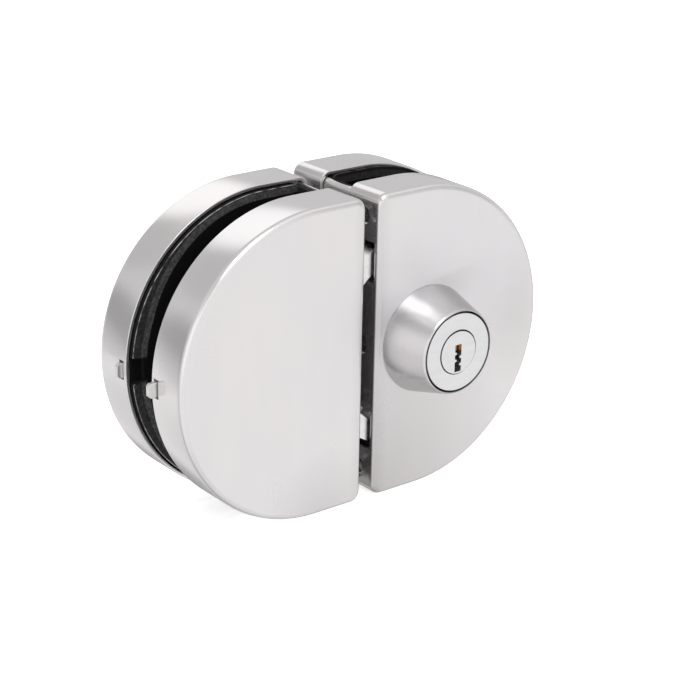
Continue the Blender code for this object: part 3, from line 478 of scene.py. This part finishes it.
def brushed_steel(name, tone, rough, centre_x, grain=1.0, shade_patches=(), face_rough=0.0):
    """Satin steel: soft bands up the faces, streaks round the rims, painted shade on the walls at the gap and
    near it, and soft patches of painted shade.
    """
    make = Nodes(name)
    coords = make.node("ShaderNodeTexCoord")
    parts = make.node("ShaderNodeSeparateXYZ", {"Vector": coords.outputs["Object"]})
    inwards = make.math("ABSOLUTE", parts.outputs["X"])
    shifted = make.math("SUBTRACT", parts.outputs["X"], centre_x)
    turn = make.math("ARCTAN2", parts.outputs["Z"], shifted)
    along = make.math("MULTIPLY", turn, RADIUS)
    stretched = make.math("MULTIPLY", parts.outputs["Y"], 14.0)
    rim_place = make.node("ShaderNodeCombineXYZ", {"X": along, "Y": stretched})
    rim = make.noise(200.0, detail=4.0, rough=0.6, vector=rim_place.outputs[0])
    face = make.noise(40.0, (3.0, 1.0, 0.5), detail=2.0, rough=0.4)
    normal = make.node("ShaderNodeSeparateXYZ", {"Vector": coords.outputs["Normal"]})
    facing = make.math("ABSOLUTE", normal.outputs["Y"])
    on_face = make.span(facing, 0.6, 0.9, 0.0, 1.0)
    streak = make.node("ShaderNodeMix", {"Factor": on_face, "A": rim, "B": face},
                       data_type="FLOAT").outputs["Result"]
    cloud = make.noise(26.0, (1.0, 1.0, 0.7), detail=3.0)
    patch = make.noise(60.0, (1.0, 1.0, 1.6), detail=2.0)
    warm = color(tone, 1.015, 0.985, 0.985)
    cool = color(tone * 0.985, 1.0, 0.985, 1.0)
    base = make.mix(make.span(cloud, 0.38, 0.62, 0.0, 1.0), warm, cool)
    level = make.span(streak, 0.3, 0.7, 0.982, 1.0)
    # Painted shade on the walls that face across the gap, deeper low down
    wall = make.span(make.math("ABSOLUTE", normal.outputs["X"]), 0.90, 0.98, 0.0, 1.0)
    wall = make.math("MULTIPLY", wall, make.span(inwards, 3.0 * MM, 4.0 * MM, 1.0, 0.0))
    shade = make.span(parts.outputs["Z"], -45.0 * MM, 45.0 * MM, 0.42, 0.20)
    depth = make.math("MULTIPLY", wall, shade)
    level = make.math("MULTIPLY", level, make.math("SUBTRACT", 1.0, depth))
    # Painted shade on all faces within 8 mm of the gap
    level = make.math("MULTIPLY", level, make.span(inwards, 3.0 * MM, 8.0 * MM, 0.90, 1.0))
    # Darken the colour by each soft patch of painted shade
    for shade_patch in shade_patches:
        level = make.math("MULTIPLY", level, painted_shade_patch(make, parts, *shade_patch))
    grey = make.node("ShaderNodeCombineColor", {"Red": level, "Green": level, "Blue": level}).outputs[0]
    blend = make.node("ShaderNodeMix", {"Factor": 1.0, "A": base, "B": grey}, data_type="RGBA",
                      blend_type="MULTIPLY").outputs["Result"]
    make.use("Base Color", blend)
    make.use("Metallic", 0.9)
    roughness = make.span(make.math("ADD", streak, make.math("MULTIPLY", patch, 0.5)), 0.4, 1.1,
                          rough - 0.03, rough + 0.04)
    make.use("Roughness", make.math("ADD", roughness, make.math("MULTIPLY", on_face, face_rough)))
    relief = make.math("MULTIPLY", rim, make.math("SUBTRACT", 1.0, on_face))
    make.bump(relief, 0.005 * grain, 0.2 * MM)
    return make.material


def brushed_round(look, amount):
    """Brushed round the Y axis: reflections are drawn out along the slope."""
    shader = look.node_tree.nodes["Principled BSDF"]
    tangent = look.node_tree.nodes.new("ShaderNodeTangent")
    tangent.direction_type = "RADIAL"
    tangent.axis = "Y"
    look.node_tree.links.new(tangent.outputs["Tangent"], shader.inputs["Tangent"])
    shader.inputs["Anisotropic"].default_value = amount
    shader.inputs["Anisotropic Rotation"].default_value = 0.25
    return look


def plain_metal(name, tint, rough, wear=0.06, grain=420.0, metallic=1.0):
    """Plain metal with fine mottling and light scuffs."""
    make = Nodes(name)
    fine = make.noise(grain * 3, detail=4.0)
    scuff = make.noise(grain * 0.4, (1, 1, 3), detail=5.0, rough=0.7)
    dark = tuple(channel * (1 - wear * 2) for channel in tint[:3]) + (1.0,)
    make.use("Base Color", make.mix(make.span(scuff, 0.35, 0.7, 0.0, 1.0), tint, dark))
    make.use("Metallic", metallic)
    make.use("Roughness", make.span(fine, 0.3, 0.7, rough - wear, rough + wear))
    make.bump(fine, 0.05, 0.1 * MM)
    return make.material


def rubber(name, tone, worn_and_highlight_tone):
    """Matt rubber sheet: a pebbled, dusty border band, painted shade on its outer part and on the sides,
    painted shadow near black inside the band and at the nick, and a light line on the worn outer edge that is
    partly painted highlight.
    """
    make = Nodes(name)
    coords = make.node("ShaderNodeTexCoord")
    parts = make.node("ShaderNodeSeparateXYZ", {"Vector": coords.outputs["Object"]})
    across = make.math("SUBTRACT", make.math("ABSOLUTE", parts.outputs["X"]), ROUND_X)
    across = make.math("MAXIMUM", across, 0.0)
    squares = make.math("ADD", make.math("POWER", across, 2.0), make.math("POWER", parts.outputs["Z"], 2.0))
    reach = make.math("SQRT", squares)
    pebble = make.node("ShaderNodeTexVoronoi", {"Vector": make.place(), "Scale": 1500.0}).outputs["Distance"]
    dust = make.noise(1100.0, detail=6.0, rough=0.75)
    soft = make.noise(260.0, detail=3.0)
    nick = make.math("ABSOLUTE", parts.outputs["Z"])
    inner = make.math("SUBTRACT", reach, make.span(nick, 16.0 * MM, 45.0 * MM, 0.0, 2.5 * MM))
    # Painted shadow: near black inside the dusty band and at the nick
    band_outside_painted_shadow = make.span(inner, PAINTED_SHADOW_TO_DUSTY_BAND, PAINTED_SHADOW_TO_DUSTY_BAND + 0.2 * MM, 0.0, 1.0)
    band_outside_painted_shadow = make.math("MULTIPLY", band_outside_painted_shadow, make.span(nick, NICK_HALF * 0.8, NICK_HALF * 1.1, 0.0, 1.0))
    # Painted shade: darker on the band's outer part
    outer = make.span(inner, PAINTED_SHADOW_TO_DUSTY_BAND + 2.3 * MM, PAINTED_SHADOW_TO_DUSTY_BAND + 2.5 * MM, 0.0, 1.0)
    light = make.span(dust, 0.42, 0.70, 0.0, 1.0)
    shade = make.mix(light, make.mix(outer, color(tone * 0.7), color(tone * 0.3)),
                     make.mix(outer, color(tone * 2.6), color(tone * 1.1)))
    body = make.mix(band_outside_painted_shadow, color(tone * 0.1), shade)
    normal = make.node("ShaderNodeSeparateXYZ", {"Vector": coords.outputs["Normal"]})
    facing = make.math("ABSOLUTE", normal.outputs["Y"])
    flat = make.span(facing, 0.90, 0.97, 0.0, 1.0)
    # A light line on the worn outer edge: part wear, part painted highlight
    edge = make.math("SUBTRACT", make.span(facing, 0.10, 0.25, 0.0, 1.0), flat)
    rim = make.span(reach, PAINTED_SHADOW_TO_DUSTY_BAND + 4.6 * MM, PAINTED_SHADOW_TO_DUSTY_BAND + 4.7 * MM, 0.0, 1.0)
    edge = make.math("MULTIPLY", edge, rim)
    wear_and_highlight = make.span(soft, 0.40, 0.60, 0.05, 0.9)
    # Painted shade: the sides near black
    with_shaded_sides = make.mix(flat, color(tone * 0.15), body)
    make.use("Base Color", make.mix(make.math("MULTIPLY", edge, wear_and_highlight), with_shaded_sides, color(worn_and_highlight_tone)))
    gloss = make.math("MULTIPLY", band_outside_painted_shadow, make.span(outer, 0.0, 1.0, 1.0, 0.35))
    make.use("Specular IOR Level", make.span(gloss, 0.0, 1.0, 0.08, 0.4))
    make.use("Roughness", make.span(pebble, 0.0, 0.6, 0.70, 0.92))
    make.bump(make.math("ADD", pebble, make.math("MULTIPLY", dust, 0.8)), 0.6, 0.15 * MM)
    return make.material


# Centre, reach and depth of the soft patches of painted shade, and where the rubber's painted shadow ends and
# its dusty band starts
# Painted shade on the lock's face: low down, near the gap and at its right end
LOCK_PAINTED_SHADES = (((3.0 * MM, -52.0 * MM), 62.0 * MM, 0.30), ((4.0 * MM, 14.0 * MM), 26.0 * MM, 0.10),
              ((6.0 * MM, 8.0 * MM), 13.0 * MM, 0.16), ((64.0 * MM, 0.0), 26.0 * MM, 0.12))
# Painted shade low on the strike's face
STRIKE_PAINTED_SHADES = (((-18.0 * MM, -55.0 * MM), 26.0 * MM, 0.18),)
# Painted shade on parts of the guard's cone: low, upper right and upper left
GUARD_PAINTED_SHADES = (((17.0 * MM, -17.0 * MM), 15.0 * MM, 0.36), ((30.0 * MM, 16.0 * MM), 12.0 * MM, 0.22),
               ((36.0 * MM, -12.0 * MM), 14.0 * MM, 0.30), ((10.0 * MM, 10.5 * MM), 5.0 * MM, 0.10))
PAINTED_SHADOW_TO_DUSTY_BAND = 45.5 * MM

LOOKS = {
    "lock": brushed_steel("lock_brushed_steel", 0.80, 0.17, ROUND_X, 1.0, LOCK_PAINTED_SHADES, 0.12),
    "strike": brushed_steel("strike_brushed_steel", 0.80, 0.17, -ROUND_X, 1.0, STRIKE_PAINTED_SHADES, 0.12),
    "guard": brushed_round(brushed_steel("guard_satin_steel", 0.74, 0.22, CYLINDER_X, 0.5, GUARD_PAINTED_SHADES), 0.88),
    "turn": brushed_steel("thumb_turn_satin_steel", 0.78, 0.26, CYLINDER_X, 0.6),
    "sheet": plain_metal("sheet_steel", color(0.78, 1.0, 0.99, 0.98), 0.34, metallic=0.8),
    "screw": plain_metal("screw_steel", color(0.30, 1.0, 0.99, 0.98), 0.25),
    "chrome": plain_metal("hook_nickel", color(0.92, 1.0, 1.0, 0.995), 0.24, 0.04),
    "satin": plain_metal("cylinder_satin_chrome", color(0.86, 0.995, 1.0, 1.01), 0.30, 0.03),
    "zinc": plain_metal("case_zinc", color(0.30, 0.98, 1.0, 1.02), 0.42, 0.1),
    "brass": plain_metal("gear_brass", (0.62, 0.44, 0.20, 1.0), 0.34),
    "copper": plain_metal("pin_copper", (0.50, 0.22, 0.09, 1.0), 0.38),
    "rubber": rubber("gasket_rubber", 0.04, 0.40),
    # The lock's gaskets use a darker copy of the rubber, with a dimmer edge line
    "darker_rubber": rubber("darker_gasket_rubber", 0.010, 0.08),
}


def stand_for(piece, node, body="housing"):
    """A finer piece that stands for one node."""
    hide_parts(node)
    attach(piece, body)
    return piece


def cover_stations():
    """(inset, y) of a cover's rings: face, rounded edge, side, rim, inner side and inner face."""
    steps = 8
    inner_radius = FACE_RADIUS - COVER_WALL
    turns = [pi / 2 * step / steps for step in range(steps + 1)]
    outer = [(FACE_RADIUS + 0.8 * MM, FACE_Y)]
    outer += [(FACE_RADIUS * (1 - sin(turn)), FACE_Y - FACE_RADIUS * (1 - cos(turn))) for turn in turns]
    outer.append((0.0, FACE_Y - FACE_RADIUS - 0.6 * MM))
    rim = [(RIM_ROUND * (1 - cos(turn)), RIM_Y + RIM_ROUND * (1 - sin(turn))) for turn in turns[::2]]
    rim += [(COVER_WALL - RIM_ROUND * (1 - sin(turn)), RIM_Y + RIM_ROUND * (1 - cos(turn)))
            for turn in turns[::2]]
    inner = [(COVER_WALL + inner_radius * (1 - cos(turn)), INNER_Y - inner_radius * (1 - sin(turn)))
             for turn in turns[::2]]
    return outer + rim + inner


def screw_holes(name, side, face):
    """Cutters for the three countersunk holes of a cover."""
    tools = []
    near, far = side * (STRAIGHT_X - CLEAR), side * (STRAIGHT_X + COVER_WALL + CLEAR)
    profile = [(0, near), (SCREW_HEAD_R + 2 * CLEAR, near), (SCREW_SHANK_R + CLEAR, far), (0, far)]
    for z in (SCREW_Z, 0.0, -SCREW_Z):
        tools.append(turned(f"{name}_hole", profile, (face * abs(SCREW_Y), z), axis="X", steps=40))
    return tools


def slot_cutters(name, side, span):
    """Cutters for the two slots that the hooks pass through."""
    tools = []
    ends, = spans((side * (STRAIGHT_X - COVER_WALL), side * (STRAIGHT_X + 1.5 * COVER_WALL)))
    for sign in (1, -1):
        heights, = spans((sign * span[0], sign * span[1]))
        tools.append(block(f"{name}_slot", (ends[0], SLOT_FRONT_Y, heights[0]),
                           (ends[1], SLOT_BACK_Y, heights[1])))
    return tools


def make_cover(unit, ending, side, face):
    """One cover with its screw holes, hook slots, tongue slot, bore and the raised ring for the guard."""
    name = f"{unit}_{ending}_cover"
    rings = []
    for inset, y in cover_stations():
        rings.append([(x, face * y, z) for x, z in mirrored(unit_outline(inset), side)])
    cover = lofted(f"{name}_fine", rings, LOOKS[unit])
    tools = screw_holes(name, side, face)
    ends, depths = spans((side * (ROUND_X + RADIUS - 2 * COVER_WALL), side * (ROUND_X + RADIUS + COVER_WALL)),
                         (face * (PLATE_IN - CLEAR), face * (PLATE_OUT + 2 * CLEAR)))
    half = TONGUE_HALF + TONGUE_SPARE
    tools.append(block(f"{name}_tongue_slot", (ends[0], depths[0], -half), (ends[1], depths[1], half)))
    if face < 0:
        tools += slot_cutters(name, side, HOOK_SLOT if side > 0 else STRIKE_SLOT)
    if side > 0:
        radius = HOUSING_R + CLEAR if face < 0 else SHAFT_R + CLEAR
        levels, = spans((face * (INNER_Y - MM), face * (FACE_Y + MM)))
        tools.append(prism(f"{name}_bore", [circle((CYLINDER_X, 0), radius, 64)], *levels))
    if side > 0 and face < 0:
        ring = [(radius, -INNER_Y), (GUARD_STEP_R, -INNER_Y), (GUARD_STEP_R, -FACE_Y)]
        ring += [(GUARD_STEP_R - 2 * GUARD_STEP, -FACE_Y - GUARD_STEP), (radius, -FACE_Y - GUARD_STEP)]
        carve(cover, joins=[turned(f"{name}_ring", ring, (CYLINDER_X, 0), steps=160)])
    carve(cover, tools)
    stand_for(cover, name)


def channel_section(half_out, half_in, back):
    """The channel's section in (x, y): a web with a rounded bend into a plate at each end."""
    bend_out, bend_in = 1.7 * MM, 0.5 * MM
    out = arc((WEB_X + bend_out, half_out - bend_out), bend_out, pi, pi / 2, 5)
    inner = arc((WEB_IN_X + bend_in, half_in - bend_in), bend_in, pi / 2, pi, 4)
    upper = out + [(back, half_out), (back, half_in)] + inner
    lower = [(x, -y) for x, y in upper[::-1]]
    return upper + lower


def plate_outline(proud):
    """Outline of the clamping plates, with the tongue in the middle of the round end."""
    inset = COVER_WALL + 2 * CLEAR
    radius = RADIUS - inset
    tip = ROUND_X + RADIUS + proud
    corner = CORNER_RADIUS - inset
    bend = asin(TONGUE_HALF / radius)
    points = arc((ROUND_X, 0), radius, -pi / 2, -bend, 60)
    points += [(tip - TONGUE_CHAMFER, -TONGUE_HALF), (tip, -TONGUE_HALF + TONGUE_CHAMFER)]
    points += [(tip, TONGUE_HALF - TONGUE_CHAMFER), (tip - TONGUE_CHAMFER, TONGUE_HALF)]
    points += arc((ROUND_X, 0), radius, bend, pi / 2, 60)
    points += arc((WEB_X + corner, radius - corner), corner, pi / 2, pi, 8)
    points += arc((WEB_X + corner, corner - radius), corner, pi, 3 * pi / 2, 8)
    return points


def web_cutter(name, side, sign):
    """Cutter that gives one end of the web its saddle."""
    top = RADIUS - WEB_DROP
    half = PLATE_IN
    points = [(-half, sign * (RADIUS + MM)), (half, sign * (RADIUS + MM))]
    for step in range(21):
        share = 1 - step / 10
        points.append((half * share, sign * (top - WEB_SADDLE * (1 - share * share))))
    ends, = spans((side * (WEB_X - MM), side * (WEB_IN_X + 0.2 * MM)))
    return prism(name, [points], *ends, axis="X")


def make_channel(unit, side):
    """The folded channel: bent from one sheet, with tabs for the cover screws."""
    name = f"{unit}_channel"
    section = channel_section(PLATE_OUT, PLATE_IN, ROUND_X + RADIUS + 2 * TONGUE_PROUD)
    rings = [[(side * x, y, z) for x, y in section] for z in (-RADIUS, RADIUS)]
    channel = lofted(f"{name}_fine", rings, LOOKS["sheet"])
    outline = prism(f"{name}_outline", [mirrored(plate_outline(TONGUE_PROUD), side)], -2 * PLATE_OUT, 0)
    back = prism(f"{name}_back", [mirrored(plate_outline(BACK_TONGUE_PROUD), side)], 0, 2 * PLATE_OUT)
    carve(outline, joins=[back])
    tabs = []
    for face, z, tall, reach in tab_places(side):
        ends, depths = spans((side * WEB_X, side * WEB_IN_X), (face * (PLATE_OUT - MM), face * reach))
        hole = circle((face * abs(SCREW_Y), z), SCREW_SHANK_R + CLEAR, 24)
        tabs.append(prism(f"{name}_tab", [rectangle((depths[0], z - tall), (depths[1], z + tall)), hole],
                          *ends, axis="X"))
    cuts = [web_cutter(f"{name}_saddle", side, sign) for sign in (1, -1)]
    if side > 0:
        way = circle((CYLINDER_X, 0), SPINDLE_WAY_R, 32)
        cuts.append(prism(f"{name}_way", [way], -2 * PLATE_OUT, 2 * PLATE_OUT))
    for z in (BOLT_Z, -BOLT_Z):
        way = circle((side * BOLT_X, z), BOLT_WAY_R, 32)
        cuts.append(prism(f"{name}_bolt", [way], -2 * PLATE_OUT, 2 * PLATE_OUT))
    carve(channel, keeps=[outline])
    carve(channel, joins=tabs, cuts=cuts)
    soften(channel, 0.35 * MM)
    stand_for(channel, name)


def tab_places(side):
    """(face, z, half height, reach) of each tab of the web."""
    reach = abs(SCREW_Y) + TAB_BEYOND
    places = [(face, z, TAB_HALF, reach) for face in (-1, 1) for z in (SCREW_Z, -SCREW_Z)]
    places.append((1, 0.0, TAB_HALF, reach))
    if side < 0:
        places.append((-1, 0.0, KEEPER_HALF, -SLOT_FRONT_Y))
    return places


def gasket_outline(inset, nick=True):
    """Outline of a glass gasket, round the notch in the glass, with or without the nick at its round end."""
    radius = RADIUS - inset
    left = WEB_IN_X + 0.5 * inset
    corner = 3.0 * MM
    end = ROUND_X + radius - NICK_DEEP
    bend = asin(NICK_HALF / radius)
    points = arc((ROUND_X, 0), radius, -pi / 2, -bend, 60)
    if nick:
        points += [(end, -NICK_HALF * 0.8), (end, NICK_HALF * 0.8)]
    points += arc((ROUND_X, 0), radius, bend, pi / 2, 60)
    points += arc((left + corner, radius - corner), corner, pi / 2, pi, 5)
    points += [(left, NOTCH_HALF), (NOTCH_X, NOTCH_HALF), (NOTCH_X, -NOTCH_HALF), (left, -NOTCH_HALF)]
    points += arc((left + corner, corner - radius), corner, pi, 3 * pi / 2, 5)
    return points


def make_gaskets(unit, side):
    """Rubber sheets against the glass, and the strip against its edge."""
    look = LOOKS["darker_rubber" if side > 0 else "rubber"]
    set_in = LOCK_GASKET_INSET if side > 0 else GASKET_INSET
    for ending, face in (("front", -1), ("back", 1)):
        depths, = spans((face * GASKET_IN, face * GASKET_OUT))
        piece = prism(f"{unit}_{ending}_gasket_fine", [mirrored(gasket_outline(set_in), side)], *depths,
                      look, 0.2 * MM)
        # A rubber floor under the nick, coloured near black, stands for the shade in the nick's pocket and
        # hides the plate behind it
        depths, = spans((face * GASKET_OUT, face * (GASKET_OUT - NICK_FLOOR)))
        under = shrunk(gasket_outline(set_in, False), FLOOR_INSET)
        floor = prism(f"{unit}_{ending}_floor", [mirrored(under, side)], *depths)
        carve(piece, joins=[floor])
        stand_for(piece, f"{unit}_{ending}_gasket")
    low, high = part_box(f"{unit}_edge_gasket")
    top = RADIUS - WEB_DROP - WEB_SADDLE - CLEAR
    strip = prism(f"{unit}_edge_gasket_fine", [rectangle((low.y, -top), (high.y, top))], low.x, high.x,
                  look, 0.15 * MM, axis="X")
    stand_for(strip, f"{unit}_edge_gasket")


def make_screws(unit, side):
    """Sunk cover screws with a six-sided socket."""
    neck = STRAIGHT_X + COVER_WALL + CLEAR
    top = STRAIGHT_X + SCREW_SUNK
    slope = (SCREW_HEAD_R - SCREW_SHANK_R) / (neck - STRAIGHT_X)
    end = STRAIGHT_X + SCREW_LENGTH
    profile = [(0, top), (SCREW_HEAD_R - slope * SCREW_SUNK - 0.3 * MM, top)]
    profile += [(SCREW_HEAD_R - slope * SCREW_SUNK, top + 0.2 * MM), (SCREW_SHANK_R, neck)]
    profile += [(SCREW_SHANK_R, end - 0.3 * MM), (SCREW_SHANK_R - 0.3 * MM, end), (0, end)]
    for ending, face in (("front", -1), ("back", 1)):
        for place, z in (("upper", SCREW_Z), ("middle", 0.0), ("lower", -SCREW_Z)):
            centre = (face * abs(SCREW_Y), z)
            name = f"{unit}_{ending}_screw_{place}"
            sided = [(radius, side * x) for radius, x in profile]
            screw = turned(f"{name}_fine", sided, centre, LOOKS["screw"], "X", 48)
            levels, = spans((side * (top - MM), side * (top + SOCKET_DEEP)))
            carve(screw, [prism(f"{name}_socket", [circle(centre, SOCKET_R, 6)], *levels, axis="X")])
            stand_for(screw, name)


def make_cylinder():
    """The guard, the cylinder's housing and plug, and the pin in the keyway."""
    centre = (CYLINDER_X, 0.0)
    foot = -FACE_Y - GUARD_STEP - 0.1 * MM
    front = CYLINDER_FACE_Y + 0.05 * MM
    bore = HOUSING_R + HOUSING_GAP
    lip = [(GUARD_BASE_R, foot - 0.3 * MM), (GUARD_TOP_R, front + 0.4 * MM), (GUARD_TOP_R - GUARD_LIP, front)]
    lip = rounded(lip + [(bore, front), (bore, foot)], 0.3 * MM)
    profile = [(GUARD_BASE_R - 0.1 * MM, foot)] + lip
    guard = turned("cylinder_guard_fine", profile, centre, LOOKS["guard"], steps=160)
    stand_for(guard, "cylinder_guard")
    bore = PLUG_R + PLUG_GAP
    body = [(bore, -INNER_Y), (bore, CYLINDER_FACE_Y), (HOUSING_R, CYLINDER_FACE_Y), (HOUSING_R, -INNER_Y)]
    housing = turned("cylinder_housing_fine", rounded(body, 0.2 * MM, 3), centre, LOOKS["satin"], steps=160)
    stand_for(housing, "cylinder_housing")
    face = [(0, CYLINDER_FACE_Y), (PLUG_R, CYLINDER_FACE_Y), (PLUG_R, -INNER_Y), (0, -INNER_Y)]
    plug_centre = (CYLINDER_X + PLUG_SHIFT, -PLUG_SHIFT)
    plug = turned("cylinder_plug_fine", rounded(face, 0.2 * MM, 3), plug_centre, LOOKS["satin"], steps=128)
    pin_low = KEYWAY_TOP - PIN_HANG
    bore_top = KEYWAY_TOP + 3.4 * MM
    pin_y = CYLINDER_FACE_Y + PIN_BACK
    drill = lofted("plug_drill", [[(x, y, z) for x, y in circle((CYLINDER_X, pin_y), PIN_R + 0.15 * MM, 32)]
                                  for z in (KEYWAY_TOP - MM, bore_top)])
    way = prism("plug_keyway", [keyway_outline()], CYLINDER_FACE_Y - MM, CYLINDER_FACE_Y + 11.0 * MM)
    socket = block("plug_socket", (CYLINDER_X - SPINDLE_HALF, -INNER_Y - 5.0 * MM, -SPINDLE_HALF),
                   (CYLINDER_X + SPINDLE_HALF, -INNER_Y + MM, SPINDLE_HALF))
    carve(plug, [way, drill, socket])
    stand_for(plug, "cylinder_plug", "cylinder_drive")
    levels = (pin_low, pin_low + 0.35 * MM, pin_low + PIN_LONG)
    radii = (PIN_R - 0.25 * MM, PIN_R, PIN_R)
    pin = lofted("key_pin_fine", [[(x, y, z) for x, y in circle((CYLINDER_X, pin_y), radius, 32)]
                                  for radius, z in zip(radii, levels)], LOOKS["copper"])
    stand_for(pin, "key_pin", "key_pin_body")


def keyway_outline():
    """The key's slot: a tall slot with two wards from each side."""
    left, right = CYLINDER_X - KEYWAY_HALF, CYLINDER_X + KEYWAY_HALF
    height = KEYWAY_TOP - KEYWAY_BOTTOM
    ward, tall = 0.75 * MM, 1.1 * MM
    points = [(left, KEYWAY_TOP)]
    for share in (0.62, 0.36):
        level = KEYWAY_BOTTOM + height * share
        points += [(left, level + tall), (left + ward, level + 0.75 * tall)]
        points += [(left + ward, level + 0.25 * tall), (left, level)]
    points += [(left, KEYWAY_BOTTOM), (right, KEYWAY_BOTTOM)]
    for share in (0.20, 0.47):
        level = KEYWAY_BOTTOM + height * share
        points += [(right, level), (right - ward, level + 0.25 * tall)]
        points += [(right - ward, level + 0.75 * tall), (right, level + tall)]
    return points + [(right, KEYWAY_TOP)]


def make_turn():
    """The thumb turn and its rose at the back."""
    centre = (CYLINDER_X, 0.0)
    low = FACE_Y + CLEAR
    rose_top = low + ROSE_THICK
    bore = SHAFT_R + CLEAR
    rose = [(bore, low), (ROSE_R, low), (ROSE_R, rose_top), (bore, rose_top)]
    piece = turned("thumb_turn_rose_fine", rounded(rose, 0.9 * MM, 5), centre, LOOKS["turn"])
    stand_for(piece, "thumb_turn_rose")
    base = rose_top + CLEAR
    grip = base + KNOB_THICK
    neck = INNER_Y - 3.4 * MM
    groove = INNER_Y - 1.6 * MM
    waist = SHAFT_R - 0.8 * MM
    profile = [(0, neck), (SHAFT_R, neck), (SHAFT_R, groove), (waist, groove), (waist, INNER_Y)]
    profile += [(SHAFT_R, INNER_Y), (SHAFT_R, base), (KNOB_R, base), (KNOB_R, grip), (0, grip)]
    knob = turned("thumb_turn_fine", rounded(profile, 0.6 * MM, 4), centre, LOOKS["turn"])
    tip = -CYLINDER_FACE_Y + 0.35 * MM
    rings = []
    steps = ((18, 0.0), (4, 0.1), (2, 0.35), (1.2, 0.6), (0.6, 0.9), (0.25, 1.2), (0.07, 1.5), (0, 1.8))
    for below, shrink in steps:
        outline = arc((CYLINDER_X, WING_REACH), WING_HALF - shrink * MM, 0, pi, 24)
        outline += arc((CYLINDER_X, -WING_REACH), WING_HALF - shrink * MM, pi, 2 * pi, 24)
        rings.append([(x, max(grip - MM, tip - below * MM), z) for x, z in outline])
    carve(knob, joins=[lofted("thumb_turn_wing", rings)])
    hole = block("thumb_turn_hole", (CYLINDER_X - SPINDLE_HALF, neck - MM, -SPINDLE_HALF),
                 (CYLINDER_X + SPINDLE_HALF, base, SPINDLE_HALF))
    carve(knob, [hole])
    stand_for(knob, "thumb_turn", "cylinder_drive")


def dress_packed():
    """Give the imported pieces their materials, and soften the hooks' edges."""
    slots = {"screw_steel": "screw", "case_zinc": "zinc", "gear_brass": "brass", "sheet_steel": "sheet",
             "brushed_steel": "lock", "hook_chrome": "chrome", "cylinder_satin": "satin",
             "pin_copper": "copper", "gasket_rubber": "rubber"}
    for part in frame["record"]["subparts"]:
        item = frame["nodes"][part["node"]]
        item.data.materials.clear()
        item.data.materials.append(LOOKS[slots[part["material_slot"]]])
        if part["node"].endswith("_hook"):
            soften(item, 0.5 * MM)


def make_light():
    """Soft light from all round, brighter where the photograph's steel shows it."""
    world = bpy.data.worlds.new("studio")
    bpy.context.scene.world = world
    world.use_nodes = True
    tree = world.node_tree
    coords = tree.nodes.new("ShaderNodeTexCoord").outputs["Generated"]
    total = None
    for direction, inner, outer, strength in LOBES:
        dot = tree.nodes.new("ShaderNodeVectorMath")
        dot.operation = "DOT_PRODUCT"
        tree.links.new(coords, dot.inputs[0])
        dot.inputs[1].default_value = Vector(direction).normalized()
        ramp = tree.nodes.new("ShaderNodeMapRange")
        ramp.interpolation_type = "SMOOTHSTEP"
        tree.links.new(dot.outputs["Value"], ramp.inputs["Value"])
        ramp.inputs["From Min"].default_value = outer
        ramp.inputs["From Max"].default_value = inner
        ramp.inputs["To Min"].default_value = 0.0
        ramp.inputs["To Max"].default_value = strength
        adder = tree.nodes.new("ShaderNodeMath")
        adder.operation = "ADD"
        tree.links.new(ramp.outputs["Result"], adder.inputs[0])
        if total:
            tree.links.new(total, adder.inputs[1])
        else:
            adder.inputs[1].default_value = BASE_LIGHT
        total = adder.outputs[0]
    back = tree.nodes["Background"]
    tree.links.new(total, back.inputs["Strength"])
    back.inputs["Color"].default_value = (1.0, 0.995, 0.995, 1.0)
    lamp = bpy.data.lights.new("overhead", "AREA")
    lamp.shape = "DISK"
    lamp.size = 1.6
    lamp.energy = OVERHEAD_WATTS
    item = bpy.data.objects.new("overhead", lamp)
    item.location = (-0.2, -0.2, 1.6)
    item.visible_glossy = False
    bpy.context.scene.collection.objects.link(item)


def make_floor():
    """A plain pale floor under the lowest point."""
    make = Nodes("floor_white")
    make.use("Base Color", make.mix(make.noise(3.0), color(0.93), color(0.95)))
    make.use("Roughness", 0.9)
    make.use("Emission Color", color(1.0))
    make.use("Emission Strength", 0.6)
    level = CAD_BOX[0][2]
    data = bmesh.new()
    rows = circle((0, 0), 6.0, 64)
    data.faces.new([data.verts.new((x, y, level)) for x, y in rows])
    floor = finish_mesh("floor", data, make.material, smooth=False)
    floor.visible_glossy = False


# Direction, cosine where it is full, cosine where it ends, and strength of each patch of light
LOBES = (
    ((0.0, -1.0, 0.0), 0.30, -0.25, 0.30),
    ((0.22, 0.78, 0.58), 0.985, 0.93, 0.56),
    ((-0.24, -0.37, 0.90), 0.970, 0.930, 2.20),
    ((-0.69, -0.29, 0.67), 0.99, 0.94, -0.45),
    ((-0.64, 0.76, -0.06), 0.985, 0.935, -0.30),
    ((-0.32, 0.78, 0.53), 0.985, 0.95, -0.12),
    ((-0.35, 0.75, -0.56), 0.93, 0.80, 0.30),
    ((0.62, 0.74, 0.28), 0.97, 0.88, -0.02),
    ((0.50, 0.71, -0.50), 0.97, 0.88, -0.24),
    ((0.78, -0.52, 0.33), 0.96, 0.85, -0.35),
    ((0.00, -0.40, -0.90), 0.93, 0.80, -0.15),
    ((-0.30, 0.40, -0.87), 0.93, 0.75, -0.20),
    ((-0.90, -0.30, 0.30), 0.95, 0.80, 0.20),
)
BASE_LIGHT = 0.62
OVERHEAD_WATTS = 14.0

dress_packed()
for unit_name, unit_side in (("lock", 1), ("strike", -1)):
    for end_name, unit_face in (("front", -1), ("back", 1)):
        make_cover(unit_name, end_name, unit_side, unit_face)
    make_channel(unit_name, unit_side)
    make_gaskets(unit_name, unit_side)
    make_screws(unit_name, unit_side)
make_cylinder()
make_turn()
make_light()
make_floor()
bpy.context.scene.view_settings.view_transform = "Standard"
